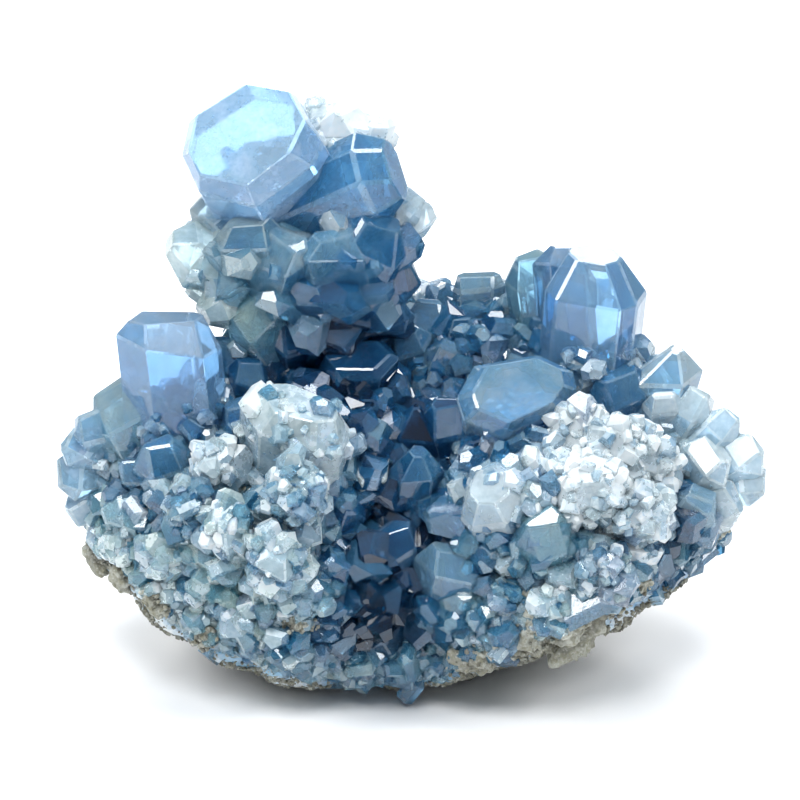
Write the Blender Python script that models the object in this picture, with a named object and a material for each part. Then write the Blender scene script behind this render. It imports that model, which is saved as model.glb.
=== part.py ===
"""Celestite geode: a broken piece of rock wall, lined with blue crystals, with a tall cluster on its rim.

The rock is one lumpy body around a middle point. Its reach in each direction is a smooth blend of named places
that the rock passes through. The crystals are convex bodies cut from a cube by flat planes, joined into one
crust and one tower, and cut back to a small gap from the rock that they grow on.
Units are metres, +Z is up and the open side faces -Y. Everything is placed first around a point 10 mm in front
of the resting face's middle, where the depths are easy to read, and moved onto that middle at the end.
"""
import math
import random

import bmesh
import bpy
from mathutils import Matrix, Vector

MM = 0.001

# The view that the crystals' places are read in, and the place that becomes the origin
VIEW_RISE = math.radians(27)
REST_PLACE = Vector((0.0, 10.0, 0.0)) * MM

# Rock: its middle, how sharply its named places blend, and the height of its lumps and pits
ROCK_MIDDLE = Vector((0.0, 14.0, 20.0)) * MM
BLEND = 30.0
LUMP_LINED = 0.5 * MM
LUMP_BARE = 1.3 * MM
PIT_BARE = 1.0 * MM
PIT_SPLIT = 0.5 * MM
COARSE_SIZE = 26 * MM
FINE_SIZE = 9 * MM
BALL_LEVEL = 4
ROCK_SHARE = 0.58

# Crust: its skin, how far it dips where the rock is bare, and its gap from the rock
CRUST_DEPTH = 2.4 * MM
CRUST_WAVE = 0.45
CRUST_UNDER_ROCK = 3.0 * MM
BED_SHARE = 0.5
GAP = 0.35 * MM

# Loose crystals between the named ones: count, how far inside the lining, sizes in millimetres, spacing, and
# the line above which their tips are seen, which rises to both sides
SCATTER_COUNT = 34
SCATTER_SEED = 21
SCATTER_COVER = 0.2
SCATTER_SIZE = (5.0, 8.5)
SCATTER_PROUD = 0.75
SCATTER_SPACING = 0.62
SCATTER_LOW = 3 * MM
SCATTER_SLOPE = 0.4

# Tower: the height that it starts at and the space that its foot takes in the crust, in millimetres
TOWER_FLOOR = 54.0 * MM
TOWER_TOP = 110 * MM
TOWER_ZONE = ((-36.0, 4.5), (6.5, 42.0))

# Crystals: roof height share, random slope of the roof's edge, random roll in degrees
ROOF = 0.62
LEAN = 0.38
ROLL = 24.0
CUBE_SIZE = 120 * MM
FAR = 200 * MM
SNAP = 0.0001 * MM

# Places on the rock's surface in millimetres: x to the right, y to the back, z up
VALLEY = [(-2, 19, 45), (3, 7, 38), (-2, -2, 28), (-3, 0, 15), (-2, -12, 7), (18, 4, 38), (18, 12, 43),
          (12, -8, 24), (-17, 12, 44), (-11, -5, 33), (-12, -13, 20)]
RIM = [(7, 28, 53), (18, 28, 53), (31, 22, 50), (-16, 22, 51), (-30, 20, 48)]
RIGHT = [(42, 12, 42), (51, 4, 37), (54, 2, 32), (31, -3, 45), (30, -13, 38), (44, -5, 35), (28, -16, 27),
         (21, -14, 17), (44, -2, 30), (14, -8, 9), (24, -6, 13.5), (34, -3, 19.5), (42, -2, 26), (50, 0, 26)]
LEFT = [(-39, 10, 44), (-50, 4, 38), (-54, 2, 32), (-18, -1, 45), (-28, -1, 41), (-27, -15, 34), (-26, -19, 23),
        (-23, -14, 15), (-42, -9, 25), (-51, -1, 21), (-37, -8, 15), (-20, -6, 6), (-30, -5, 9.5), (-45, 0, 18)]
UNDER = [(0, 6, -2), (-12, 8, -1), (11, 8, -1), (-22, 6, 3), (21, 6, 5), (0, 26, 5), (-35, 12, 10), (33, 9, 18),
         (45, 7, 29), (-46, 8, 18)]
BACK = [(0, 40, 32), (-30, 35, 32), (30, 37, 32), (-48, 19, 32), (48, 19, 28), (0, 35, 15), (-25, 31, 14),
        (25, 31, 14), (0, 38, 48), (-22, 36, 46), (25, 35, 46)]

# Named crystals, one row each: name, tip across, tip up the view, tip depth, width, thickness, length, lean,
# turn to the viewer, cap width share, cap thickness share, sides. Lengths in millimetres, angles in degrees.
TOWER = [
    ("stem", -17.5, 86, 23, 18, 15, 37, 91, 27, 0.7, 0.7, 8),
    ("top", -27.6, 90.9, 12, 23, 20, 17, 120, 62, 0.85, 0.8, 8),
    ("block", -2.2, 85.5, 14, 15, 14, 24, 24, 24, 0.7, 0.45, 8),
    ("frost left", -14.2, 96.5, 27, 10, 9, 18, 100, -8, 0.5, 0.15, 6),
    ("frost right", -7.5, 94.6, 25, 10, 8, 20, 72, -5, 0.5, 0.15, 6),
    ("shoulder", -35.5, 80.5, 19, 9, 8, 15, 138, 8, 0.55, 0.2, 6),
    ("wedge", -40.6, 72.6, 14, 10, 9, 20, 163, 12, 0.3, 0.6, 6),
    ("left face", -27.5, 76.5, 9, 12, 9, 17, 108, 45, 0.6, 0.3, 6),
    ("left face low", -33, 69.5, 11, 10, 8, 16, 140, 40, 0.5, 0.15, 6),
    ("middle left", -20.5, 74, 7, 11, 9, 17, 72, 50, 0.7, 0.3, 6),
    ("middle", -13.4, 74.5, 7, 12, 9, 17, 104, 48, 0.6, 0.3, 6),
    ("middle low", -16.6, 67, 7, 11, 8, 16, 80, 58, 0.5, 0.3, 6),
    ("right face", -4.6, 76.5, 9, 12, 9, 18, 62, 40, 0.6, 0.4, 6),
    ("right low", -6.2, 69, 10, 11, 9, 16, 48, 42, 0.5, 0.15, 6),
    ("foot left", -28, 63.5, 9, 11, 9, 15, 125, 40, 0.65, 0.25, 6),
    ("foot middle", -20, 60.5, 9, 10, 8, 13, 95, 52, 0.5, 0.15, 6),
    ("foot right", -11, 61, 10, 10, 9, 13, 70, 50, 0.5, 0.15, 6),
    ("side", 1, 68.5, 15, 9, 8, 15, 22, 20, 0.55, 0.2, 6),
    ("side low", -0.5, 62.5, 14, 9, 8, 14, 15, 30, 0.55, 0.2, 6),
    ("side top", 1, 81.5, 19, 8, 7, 15, 52, 8, 0.5, 0.15, 6),
    ("side tip", 4, 78.6, 18, 6, 5, 14, 28, 5, 0.5, 0.15, 6),
    ("back top", -24, 84, 33, 13, 11, 16, 100, -50, 0.55, 0.2, 6),
    ("back right", -6, 80, 34, 12, 10, 16, 60, -50, 0.55, 0.2, 6),
    ("back left", -32, 72, 30, 11, 10, 16, 150, -40, 0.55, 0.2, 6),
    ("back middle", -17, 71, 37, 12, 11, 18, 90, -65, 0.55, 0.2, 6),
    ("back foot", -5, 66, 34, 10, 9, 14, 30, -50, 0.55, 0.2, 6),
    ("back low", -28, 62, 36, 11, 9, 14, 160, -50, 0.55, 0.2, 6),
]
LEFT_RIM = [
    ("block", -41.1, 60.6, 6, 16, 13, 24, 96, 18, 0.75, 0.5, 6),
    ("teal", -50, 48.7, 4, 13, 11, 20, 120, 25, 0.55, 0.2, 6),
    ("grey", -41.9, 39.8, -6, 9.5, 9, 15, 100, 52, 0.55, 0.2, 6),
    ("small dark", -39.9, 43.3, -1, 5, 5, 10, 90, 72, 0.8, 0.8, 6),
    ("mirror", -33, 49.9, 6, 6.5, 6, 13, 80, 62, 0.85, 0.8, 6),
    ("small mirror", -44.2, 42.3, 0, 4.4, 4, 9, 85, 62, 0.85, 0.8, 6),
    ("violet", -27.7, 46.9, 0, 12, 9, 17, 112, 38, 0.6, 0.4, 6),
    ("frosted block", -18.4, 46.5, -8, 19, 14, 23, 86, 45, 0.7, 0.5, 8),
    ("edge a", -57.5, 40.5, 2, 8, 7, 11, 150, 30, 0.55, 0.2, 6),
    ("edge b", -54, 44, 1, 7, 6, 11, 120, 40, 0.55, 0.2, 6),
    ("edge c", -59.3, 34, 1, 9, 7, 12, 188, 25, 0.55, 0.2, 6),
    ("edge d", -57, 27, 1, 8, 7.5, 11, 215, 20, 0.55, 0.2, 6),
    ("edge e", -53.5, 22, -1, 8, 7, 10, 215, 35, 0.55, 0.2, 6),
    ("foot a", -32.7, 56.5, 9, 9, 8, 14, 110, 40, 0.55, 0.2, 6),
    ("foot b", -26.5, 53, 6, 8, 7, 13, 80, 50, 0.55, 0.2, 6),
    ("front white", -32.7, 38.6, -11, 6, 5.5, 11, 95, 50, 0.55, 0.2, 6),
    ("front a", -37.5, 30.5, -15, 9, 8, 11, 118, 50, 0.65, 0.25, 6),
    ("front b", -30.5, 27, -20, 8.5, 8, 11, 100, 60, 0.6, 0.6, 6),
    ("front c", -43, 24, -11, 8, 7, 11, 150, 45, 0.65, 0.25, 6),
    ("front d", -22, 22, -25, 8.5, 8, 11, 85, 70, 0.5, 0.6, 6),
    ("front e", -28, 12, -20, 8, 8, 11, 120, 72, 0.55, 0.2, 6),
    ("front f", -19, 33, -21, 9, 8, 12, 80, 62, 0.6, 0.6, 6),
]
HOLLOW = [
    ("block", -8.6, 54.4, 8, 13, 11, 18, 82, 50, 0.8, 0.6, 6),
    ("slab", -6.4, 44.5, 2, 10, 6, 12, 82, 35, 0.9, 0.8, 8),
    ("thin slab", -16.8, 50, 5, 7, 4, 11, 95, 40, 0.9, 0.7, 6),
    ("dark spear", 1.2, 45.4, 2, 9, 8, 14, 94, 45, 0.15, 0.15, 6),
    ("white face", -6.7, 36, -6.5, 7, 6.5, 11, 80, 62, 0.85, 0.85, 5),
    ("spear", 1, 38, -5, 9, 8, 15, 84, 40, 0.3, 0.4, 6),
    ("lavender", -4, 25.5, -10, 11, 9, 15, 95, 40, 0.65, 0.25, 6),
    ("grey blue", 8.4, 22, -14, 13, 10, 17, 80, 45, 0.65, 0.25, 6),
    ("big face", 17.8, 49, -2, 19.5, 13.5, 20, 90, 66, 0.78, 0.72, 8),
    ("beside big", 6, 45.8, 0, 9, 8, 13, 105, 55, 0.55, 0.2, 6),
    ("slope a", 3.4, 63.2, 22, 8, 7, 12, 85, 40, 0.5, 0.15, 6),
    ("slope b", 8.5, 61, 20, 7.5, 7, 12, 80, 50, 0.5, 0.15, 6),
    ("slope c", 13, 59.4, 18, 8, 7, 12, 95, 50, 0.65, 0.25, 6),
    ("slope d", -1, 58.6, 17, 8, 7, 12, 100, 50, 0.55, 0.2, 6),
    ("slope e", 7, 55.4, 14, 8, 8, 13, 80, 58, 0.55, 0.2, 6),
    ("slope f", 16, 63.4, 24, 8, 7, 12, 90, 40, 0.5, 0.15, 6),
    ("slope g", 21, 57.6, 15, 8.5, 7, 12, 85, 55, 0.65, 0.25, 6),
    ("left wall a", -13, 40, -2, 7, 6, 11, 50, 50, 0.55, 0.2, 6),
    ("left wall b", -10.5, 30, -11, 8, 7, 12, 55, 55, 0.55, 0.2, 6),
    ("left wall c", -12, 20, -17, 8, 7, 12, 55, 60, 0.55, 0.2, 6),
    ("left wall d", -13, 11, -19, 8, 7, 12, 40, 62, 0.55, 0.2, 6),
    ("dark a", 19.6, 41.4, -4, 6, 6, 10, 100, 60, 0.55, 0.2, 6),
    ("dark b", 24.5, 42, -4, 6, 6, 10, 80, 60, 0.55, 0.2, 6),
    ("dark c", 11.7, 40.6, -3, 7, 6, 11, 90, 60, 0.55, 0.2, 6),
    ("dark d", 8, 31, -8, 7, 6, 11, 75, 58, 0.55, 0.2, 6),
]
RIGHT_RIM = [
    ("big", 31.6, 71.2, 14, 17.5, 15, 27, 84, 26, 0.5, 0.45, 8),
    ("green", 20.3, 71.2, 22, 9.5, 8, 16, 98, 15, 0.55, 0.5, 6),
    ("lavender", 26.2, 72.6, 20, 10, 9, 18, 94, 12, 0.5, 0.15, 6),
    ("flat", 11.7, 68, 28, 8.5, 7, 13, 90, 15, 0.85, 0.5, 6),
    ("pointed", 44.4, 55.4, 8, 11, 9, 18, 74, 28, 0.2, 0.3, 6),
    ("small a", 42.5, 48, 3, 7, 6, 11, 90, 50, 0.55, 0.2, 6),
    ("small b", 49, 48, 4, 7, 6.5, 12, 60, 30, 0.55, 0.2, 6),
    ("small c", 54.4, 44.2, 2, 6.5, 6, 11, 45, 20, 0.55, 0.2, 6),
    ("edge a", 58.6, 39, 0, 8, 7, 11, 30, 30, 0.55, 0.2, 6),
    ("edge b", 59.8, 32.5, 0, 8.5, 7, 12, -8, 25, 0.55, 0.2, 6),
    ("blue", 35, 51, 5, 11, 9, 14, 90, 50, 0.65, 0.25, 6),
    ("white a", 28.5, 55, 8, 7, 5, 11, 100, 50, 0.8, 0.6, 6),
    ("frost top", 26.8, 45.5, -4, 11, 10, 15, 96, 42, 0.55, 0.2, 6),
    ("frost a", 33.9, 42.8, -8, 12, 10, 15, 88, 52, 0.55, 0.2, 6),
    ("frost b", 40.4, 40.2, -7, 11, 9, 14, 70, 52, 0.55, 0.2, 6),
    ("frost c", 29.5, 34.9, -17, 12, 11, 15, 95, 60, 0.6, 0.5, 8),
    ("frost d", 38.5, 31.3, -16, 10, 10, 14, 70, 60, 0.65, 0.25, 6),
    ("globe", 13, 32.4, -17, 11.5, 11, 16, 112, 58, 0.6, 0.6, 8),
    ("right frost a", 51.6, 38.3, -2, 10, 8, 13, 50, 45, 0.65, 0.25, 6),
    ("right frost b", 55, 30.8, -3, 9.5, 9, 13, 20, 42, 0.65, 0.25, 6),
    ("right frost c", 48.4, 29.5, -9, 8.5, 8, 12, 50, 60, 0.65, 0.25, 6),
    ("green teal", 46.5, 22.5, -8, 11, 9, 14, 10, 50, 0.55, 0.2, 6),
    ("teal", 22, 26.2, -21, 9, 9, 12, 95, 66, 0.65, 0.25, 6),
    ("low a", 15.1, 14.6, -20, 9, 8, 13, 100, 50, 0.3, 0.4, 6),
    ("low b", 24, 14, -22, 8, 8, 12, 90, 70, 0.55, 0.2, 6),
    ("low c", 32, 20, -22, 9, 8, 12, 75, 68, 0.55, 0.2, 6),
    ("low d", 40, 20, -12, 8, 8, 12, 40, 55, 0.55, 0.2, 6),
]
LIP = [
    ("a", -8.4, 6.4, -14, 8, 7, 10, 100, 58, 0.55, 0.2, 6),
    ("b", -1.7, 7, -13, 8, 7, 10, 90, 52, 0.4, 0.4, 6),
    ("c", -16, 7.4, -16, 8, 8, 10, 110, 66, 0.55, 0.2, 6),
    ("d", 5, 7.4, -13, 7, 7, 10, 85, 55, 0.55, 0.2, 6),
    ("e", -25, 8, -16, 8, 8, 10, 190, 66, 0.55, 0.2, 6),
    ("f", 11, 9.4, -15, 7, 7, 10, 80, 58, 0.55, 0.2, 6),
]

# Right, up and toward the viewer, as seen from the front and above
VIEW_AXES = (Vector((1, 0, 0)), Vector((0, math.sin(VIEW_RISE), math.cos(VIEW_RISE))),
             Vector((0, -math.cos(VIEW_RISE), math.sin(VIEW_RISE))))


def seen(across, rise, depth):
    """The place at this depth that is seen this far across and up, from the front and 27 degrees above."""
    height = (rise - depth * math.sin(VIEW_RISE)) / math.cos(VIEW_RISE)
    return Vector((across, depth, height)) * MM


def rock_reach(direction, anchors):
    """Distance from the rock's middle to its surface: a blend of the anchors that lie near this direction."""
    total = 0.0
    weighted = 0.0
    for unit, reach in anchors:
        weight = math.exp(BLEND * (direction.dot(unit) - 1.0))
        total += weight
        weighted += weight * reach
    return weighted / total


def anchor_list():
    """The rock's named places as directions and distances from its middle."""
    anchors = []
    for place in VALLEY + RIM + RIGHT + LEFT + UNDER + BACK:
        offset = Vector(place) * MM - ROCK_MIDDLE
        anchors.append((offset.normalized(), offset.length))
    return anchors


def lump_waves(count, size, seed):
    """Seeded plane waves that together make lumps of about this size."""
    draw = random.Random(seed)
    waves = []
    for _ in range(count):
        heading = Vector([draw.gauss(0, 1) for _ in range(3)]).normalized()
        pitch = 2 * math.pi / (size * draw.uniform(0.7, 1.4))
        waves.append((heading * pitch, draw.uniform(0, 2 * math.pi)))
    return waves


def lumps(point, waves):
    """Height of the lumps at a point, from -1 to 1."""
    total = sum(math.cos(point.dot(pitch) + phase) for pitch, phase in waves)
    return total / math.sqrt(len(waves))


COARSE = lump_waves(9, COARSE_SIZE, 3)
FINE = lump_waves(12, FINE_SIZE, 7)


def crystal_cover(direction):
    """How far a direction lies inside the crystal-lined side: above 0 it is lined, below 0 it is bare rock."""
    open_side = Vector((0.0, -0.65, 0.76))
    lower_right = max(0.0, direction.x) * max(0.0, -direction.z - 0.15)
    front_lip = 0.14 * math.exp(-((direction.x + 0.05) / 0.45) ** 2) * max(0.0, -direction.y)
    return direction.dot(open_side) - 0.04 - 0.9 * lower_right + front_lip


def scatter_rows(taken):
    """Random crystals on the lined side, where no named crystal stands, as rows like those above."""
    draw = random.Random(SCATTER_SEED)
    anchors = anchor_list()
    right, up, out = VIEW_AXES
    rows = []
    while len(rows) < SCATTER_COUNT:
        direction = Vector([draw.gauss(0, 1) for _ in range(3)]).normalized()
        size = draw.uniform(*SCATTER_SIZE)
        wander = Vector([draw.gauss(0, 0.3) for _ in range(3)])
        if crystal_cover(direction) < SCATTER_COVER:
            continue
        axis = (direction + 0.5 * out + wander).normalized()
        foot = ROCK_MIDDLE + direction * rock_reach(direction, anchors)
        tip = foot + axis * (CRUST_DEPTH + SCATTER_PROUD * size * MM)
        if tip.dot(up) < SCATTER_LOW + SCATTER_SLOPE * abs(tip.dot(right)):
            continue
        if any((tip - other).length < SCATTER_SPACING * (size * MM + reach) for other, reach in taken):
            continue
        taken.append((tip, size * MM))
        place = tip / MM
        lean = math.degrees(math.atan2(axis.dot(up), axis.dot(right)))
        turn = math.degrees(math.asin(axis.dot(out)))
        rows.append((f"scatter {len(rows)}", place.dot(right), place.dot(up), place.y, size, 0.85 * size,
                     1.7 * size, lean, turn, draw.uniform(0.4, 0.75), draw.uniform(0.1, 0.4), 6))
    return rows


def rock_body():
    """An icosphere carried out to the rock's reach, lumpy where the rock is bare."""
    anchors = anchor_list()
    body = bmesh.new()
    bmesh.ops.create_icosphere(body, subdivisions=BALL_LEVEL, radius=1.0)
    for vert in body.verts:
        direction = vert.co.normalized()
        bare = min(1.0, max(0.0, 0.4 - 3 * crystal_cover(direction)))
        reach = rock_reach(direction, anchors)
        reach += (LUMP_LINED + LUMP_BARE * bare) * lumps(direction * reach, COARSE)
        reach += PIT_BARE * bare * lumps(direction * reach, FINE)
        vert.co = ROCK_MIDDLE + direction * reach
    return body


def cut_flat(body, point, normal):
    """Cut away what lies beyond a plane and close the cut with one flat face."""
    geometry = body.verts[:] + body.edges[:] + body.faces[:]
    bmesh.ops.bisect_plane(body, geom=geometry, dist=SNAP, plane_co=point, plane_no=normal, clear_outer=True)
    rim = [edge for edge in body.edges if edge.is_boundary]
    bmesh.ops.edgeloop_fill(body, edges=rim)


def crystal_planes(width, thickness, length, cap_width, cap_thickness, sides, draw):
    """Points and outward normals of a crystal's faces. Its tip is at the origin and it grows along +Z."""
    half_w = width / 2
    half_t = thickness / 2
    roof = ROOF * min(width, thickness) * (1.15 - (cap_width + cap_thickness) / 2)
    lean_x = draw.uniform(-LEAN, LEAN)
    lean_y = draw.uniform(-LEAN, LEAN)
    shift_x = draw.uniform(-0.12, 0.12) * width * (1 - cap_width)
    shift_y = draw.uniform(-0.12, 0.12) * thickness * (1 - cap_thickness)
    turns = []
    walls = []
    caps = []
    for index in range(sides):
        turn = math.radians(90 + 360 * index / sides + draw.uniform(-9, 9))
        across = math.cos(turn)
        along = math.sin(turn)
        turns.append((across, along))
        bevel = 1.05 if sides == 8 and index % 2 else 1.0
        walls.append(math.hypot(half_w * across, half_t * along) * bevel * draw.uniform(0.9, 1.06))
        cap = math.hypot(half_w * cap_width * across, half_t * cap_thickness * along)
        caps.append(cap + shift_x * across + shift_y * along)

    def corner(index):
        """Where two neighbouring walls meet, at the height where the roof begins."""
        other = (index + 1) % sides
        (a, b), (c, d) = turns[index], turns[other]
        spread = a * d - b * c
        x = (walls[index] * d - walls[other] * b) / spread
        y = (a * walls[other] - c * walls[index]) / spread
        return Vector((x, y, -roof + lean_x * x + lean_y * y))

    outwards = [Vector((across, along, 0)) for across, along in turns]
    planes = [(outward * wall, outward) for outward, wall in zip(outwards, walls)]
    planes.append((Vector((0, 0, -length)), Vector((0, 0, -1))))
    planes.append((Vector((0, 0, 0)), Vector((-0.3 * lean_x, -0.3 * lean_y, 1)).normalized()))
    for index, outward in enumerate(outwards):
        first = corner(index - 1)
        second = corner(index)
        top = outward * caps[index]
        normal = (second - first).cross(top - first).normalized()
        if normal.dot(outward) < 0:
            normal = -normal
        planes.append((first, normal))
    return planes


def crystal_frame(tip, lean, turn):
    """Rotation and place of a crystal: it leans in the view plane and turns toward the viewer, in degrees."""
    right, view_up, to_viewer = VIEW_AXES
    flat = math.cos(math.radians(lean)) * right + math.sin(math.radians(lean)) * view_up
    axis = math.cos(math.radians(turn)) * flat + math.sin(math.radians(turn)) * to_viewer
    side = axis.cross(to_viewer - math.sin(math.radians(turn)) * axis).normalized()
    front = axis.cross(side)
    frame = Matrix((side, front, axis)).transposed().to_4x4()
    return Matrix.Translation(tip) @ frame


def make_crystal(name, row, group):
    """One crystal as a closed convex mesh object, cut from a cube plane by plane."""
    across, rise, depth, width, thickness, length, lean, turn, cap_width, cap_thickness, sides = row
    draw = random.Random(name)
    body = bmesh.new()
    bmesh.ops.create_cube(body, size=CUBE_SIZE)
    planes = crystal_planes(width * MM, thickness * MM, length * MM, cap_width, cap_thickness, sides, draw)
    for point, normal in planes:
        cut_flat(body, point, normal)
    roll = Matrix.Rotation(math.radians(draw.uniform(-ROLL, ROLL)), 4, "Z")
    frame = crystal_frame(seen(across, rise, depth), lean, turn) @ roll
    bmesh.ops.transform(body, matrix=frame, verts=body.verts)
    bmesh.ops.recalc_face_normals(body, faces=body.faces)
    return link_body(body, name, group)


def link_body(body, name, group):
    """Make an object from the built mesh and put it in a collection."""
    mesh = bpy.data.meshes.new(name)
    body.to_mesh(mesh)
    body.free()
    made = bpy.data.objects.new(name, mesh)
    group.objects.link(made)
    return made


def make_material(name, colour, roughness):
    """A plain material with this colour and roughness."""
    material = bpy.data.materials.new(name)
    material.use_nodes = True
    shader = material.node_tree.nodes["Principled BSDF"]
    shader.inputs["Base Color"].default_value = (*colour, 1.0)
    shader.inputs["Roughness"].default_value = roughness
    shader.inputs["Metallic"].default_value = 0.0
    return material


def new_group(name, parent, hidden):
    """A collection for parts, or a hidden one for bodies that only cut or join."""
    group = bpy.data.collections.new(name)
    parent.children.link(group)
    group.hide_render = hidden
    return group


def add_boolean(target, operation, operand):
    """A Boolean modifier whose operand is an object or a whole collection."""
    modifier = target.modifiers.new(operation.title(), "BOOLEAN")
    modifier.operation = operation
    modifier.solver = "EXACT"
    if isinstance(operand, bpy.types.Collection):
        modifier.operand_type = "COLLECTION"
        modifier.collection = operand
    else:
        modifier.object = operand


def as_tool(made):
    """Mark an object as one that only cuts or joins."""
    made.hide_render = True
    made.display_type = "WIRE"
    return made


def evaluated_body(made):
    """The object's mesh after its modifiers, as an editable body."""
    graph = bpy.context.evaluated_depsgraph_get()
    mesh = bpy.data.meshes.new_from_object(made.evaluated_get(graph))
    body = bmesh.new()
    body.from_mesh(mesh)
    bpy.data.meshes.remove(mesh)
    return body


def connected_parts(body):
    """The vertices of each connected part of a body, largest part first."""
    unseen = set(body.verts)
    parts = []
    while unseen:
        start = unseen.pop()
        part = {start}
        edge_of_part = [start]
        while edge_of_part:
            vert = edge_of_part.pop()
            for edge in vert.link_edges:
                other = edge.other_vert(vert)
                if other in unseen:
                    unseen.discard(other)
                    part.add(other)
                    edge_of_part.append(other)
        parts.append(part)
    return sorted(parts, key=len, reverse=True)


def settle(made):
    """Apply the modifiers and keep the one main body, without crumbs or closed pockets."""
    body = evaluated_body(made)
    made.modifiers.clear()
    for part in connected_parts(body)[1:]:
        bmesh.ops.delete(body, geom=list(part), context="VERTS")
    bmesh.ops.triangulate(body, faces=body.faces)
    body.to_mesh(made.data)
    body.free()


def make_rock(group):
    """The rock, with its flat resting face."""
    body = rock_body()
    bare = []
    for edge in body.edges:
        middle = (edge.verts[0].co + edge.verts[1].co) / 2
        if crystal_cover((middle - ROCK_MIDDLE).normalized()) < 0.02:
            bare.append(edge)
    bmesh.ops.subdivide_edges(body, edges=bare, cuts=1, use_grid_fill=True)
    bmesh.ops.triangulate(body, faces=body.faces)
    for vert in body.verts:
        direction = (vert.co - ROCK_MIDDLE).normalized()
        if crystal_cover(direction) < 0.0:
            vert.co += direction * PIT_SPLIT * lumps(vert.co, FINE)
    rock = link_body(body, "rock_matrix", group)
    thin_out(rock, ROCK_SHARE)
    body = bmesh.new()
    body.from_mesh(rock.data)
    cut_flat(body, Vector((0, 0, 0)), Vector((0, 0, -1)))
    bmesh.ops.recalc_face_normals(body, faces=body.faces)
    body.to_mesh(rock.data)
    body.free()
    return rock


def thin_out(made, share):
    """Spend the faces where the form turns most."""
    fewer = made.modifiers.new("Fewer faces", "DECIMATE")
    fewer.ratio = share
    settle(made)


def make_rock_cutter(rock, group):
    """The rock grown by the gap, to cut the crystals back with."""
    body = bmesh.new()
    body.from_mesh(rock.data)
    body.normal_update()
    moves = {}
    for vert in body.verts:
        sharpness = max(0.6, min(face.normal.dot(vert.normal) for face in vert.link_faces))
        moves[vert] = vert.normal * (GAP / sharpness)
    for vert, move in moves.items():
        vert.co += move
    return as_tool(link_body(body, "rock with gap", group))


def make_crust_bed():
    """The rock's form with a skin of crystal on its lined side, and held inside the rock elsewhere."""
    body = rock_body()
    for vert in body.verts:
        direction = (vert.co - ROCK_MIDDLE).normalized()
        lined = min(1.0, max(0.0, 0.5 + 6 * crystal_cover(direction)))
        skin = CRUST_DEPTH * (1 + CRUST_WAVE * lumps(vert.co, FINE))
        vert.co += direction * (lined * skin - (1 - lined) * CRUST_UNDER_ROCK)
    return body


def make_box(name, low, high, group):
    """A box between two corners."""
    body = bmesh.new()
    bmesh.ops.create_cube(body, size=1.0)
    size = high - low
    middle = (high + low) / 2
    matrix = Matrix.Translation(middle) @ Matrix.Diagonal((*size, 1.0))
    bmesh.ops.transform(body, matrix=matrix, verts=body.verts)
    return as_tool(link_body(body, name, group))


def tower_box(name, grow, group):
    """The space that belongs to the tower's foot, larger by a given amount all round."""
    (left, right), (front, back) = TOWER_ZONE
    low = Vector((left * MM - grow, front * MM - grow, TOWER_FLOOR - grow))
    high = Vector((right * MM + grow, back * MM + grow, TOWER_TOP))
    return make_box(name, low, high, group)


def make_crystals(prefix, rows, group):
    """All the crystals of a list, as bodies to join."""
    made = []
    for row in rows:
        made.append(as_tool(make_crystal(f"{prefix} {row[0]}", row[1:], group)))
    return made


def make_crust(parts, tools, rock_cutter):
    """The crystal lining: a skin and its crystals in one solid, clear of the rock and of the tower's foot."""
    crust = link_body(make_crust_bed(), "crystal_crust", parts)
    thin_out(crust, BED_SHARE)
    group = new_group("crust crystals", tools, True)
    make_crystals("left", LEFT_RIM, group)
    make_crystals("hollow", HOLLOW, group)
    make_crystals("right", RIGHT_RIM, group)
    make_crystals("lip", LIP, group)
    named = LEFT_RIM + HOLLOW + RIGHT_RIM + LIP + TOWER[:1]
    taken = [(seen(*row[1:4]), row[4] * MM) for row in named]
    make_crystals("loose", scatter_rows(taken), group)
    add_boolean(crust, "UNION", group)
    add_boolean(crust, "DIFFERENCE", rock_cutter)
    add_boolean(crust, "DIFFERENCE", tower_box("tower place", GAP, tools))
    settle(crust)
    return crust


def make_tower(parts, tools):
    """The standing cluster, joined in one solid and cut flat above the lining."""
    group = new_group("tower crystals", tools, True)
    made = make_crystals("tower", TOWER, group)
    stem = made[0]
    group.objects.unlink(stem)
    parts.objects.link(stem)
    stem.name = "crystal_tower"
    stem.hide_render = False
    stem.display_type = "TEXTURED"
    add_boolean(stem, "UNION", group)
    floor = make_box("tower floor", Vector((-FAR, -FAR, -FAR)), Vector((FAR, FAR, TOWER_FLOOR)), tools)
    add_boolean(stem, "DIFFERENCE", floor)
    settle(stem)
    return stem


def main():
    """Build the three pieces."""
    for old in list(bpy.data.objects):
        bpy.data.objects.remove(old)
    root = bpy.context.scene.collection
    parts = new_group("celestite_geode", root, False)
    tools = new_group("cutters", root, True)
    rock = make_rock(parts)
    rock_cutter = make_rock_cutter(rock, tools)
    crust = make_crust(parts, tools, rock_cutter)
    tower = make_tower(parts, tools)
    rock.data.materials.append(make_material("rough rock", (0.34, 0.31, 0.25), 0.9))
    crust.data.materials.append(make_material("blue crystal", (0.30, 0.48, 0.66), 0.15))
    tower.data.materials.append(make_material("pale crystal", (0.42, 0.60, 0.76), 0.15))
    for made in (rock, crust, tower):
        made.data.transform(Matrix.Translation(-REST_PLACE))
        print(made.name, len(made.data.polygons), "faces")


main()
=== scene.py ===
# %% [markdown]
# # A celestite geode, dressed for its picture
# The real object is a broken piece of a geode's wall. Rough grey rock carries a hollow lined with blue
# crystals, and a tall cluster stands on the back rim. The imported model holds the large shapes. This script
# keeps their places and adds what a person sees from near by: sharp crystals with worn edges, the fine
# druse between them, sandy rock, and the see-through blue of the mineral.

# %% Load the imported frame
import itertools
import math
import random

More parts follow.
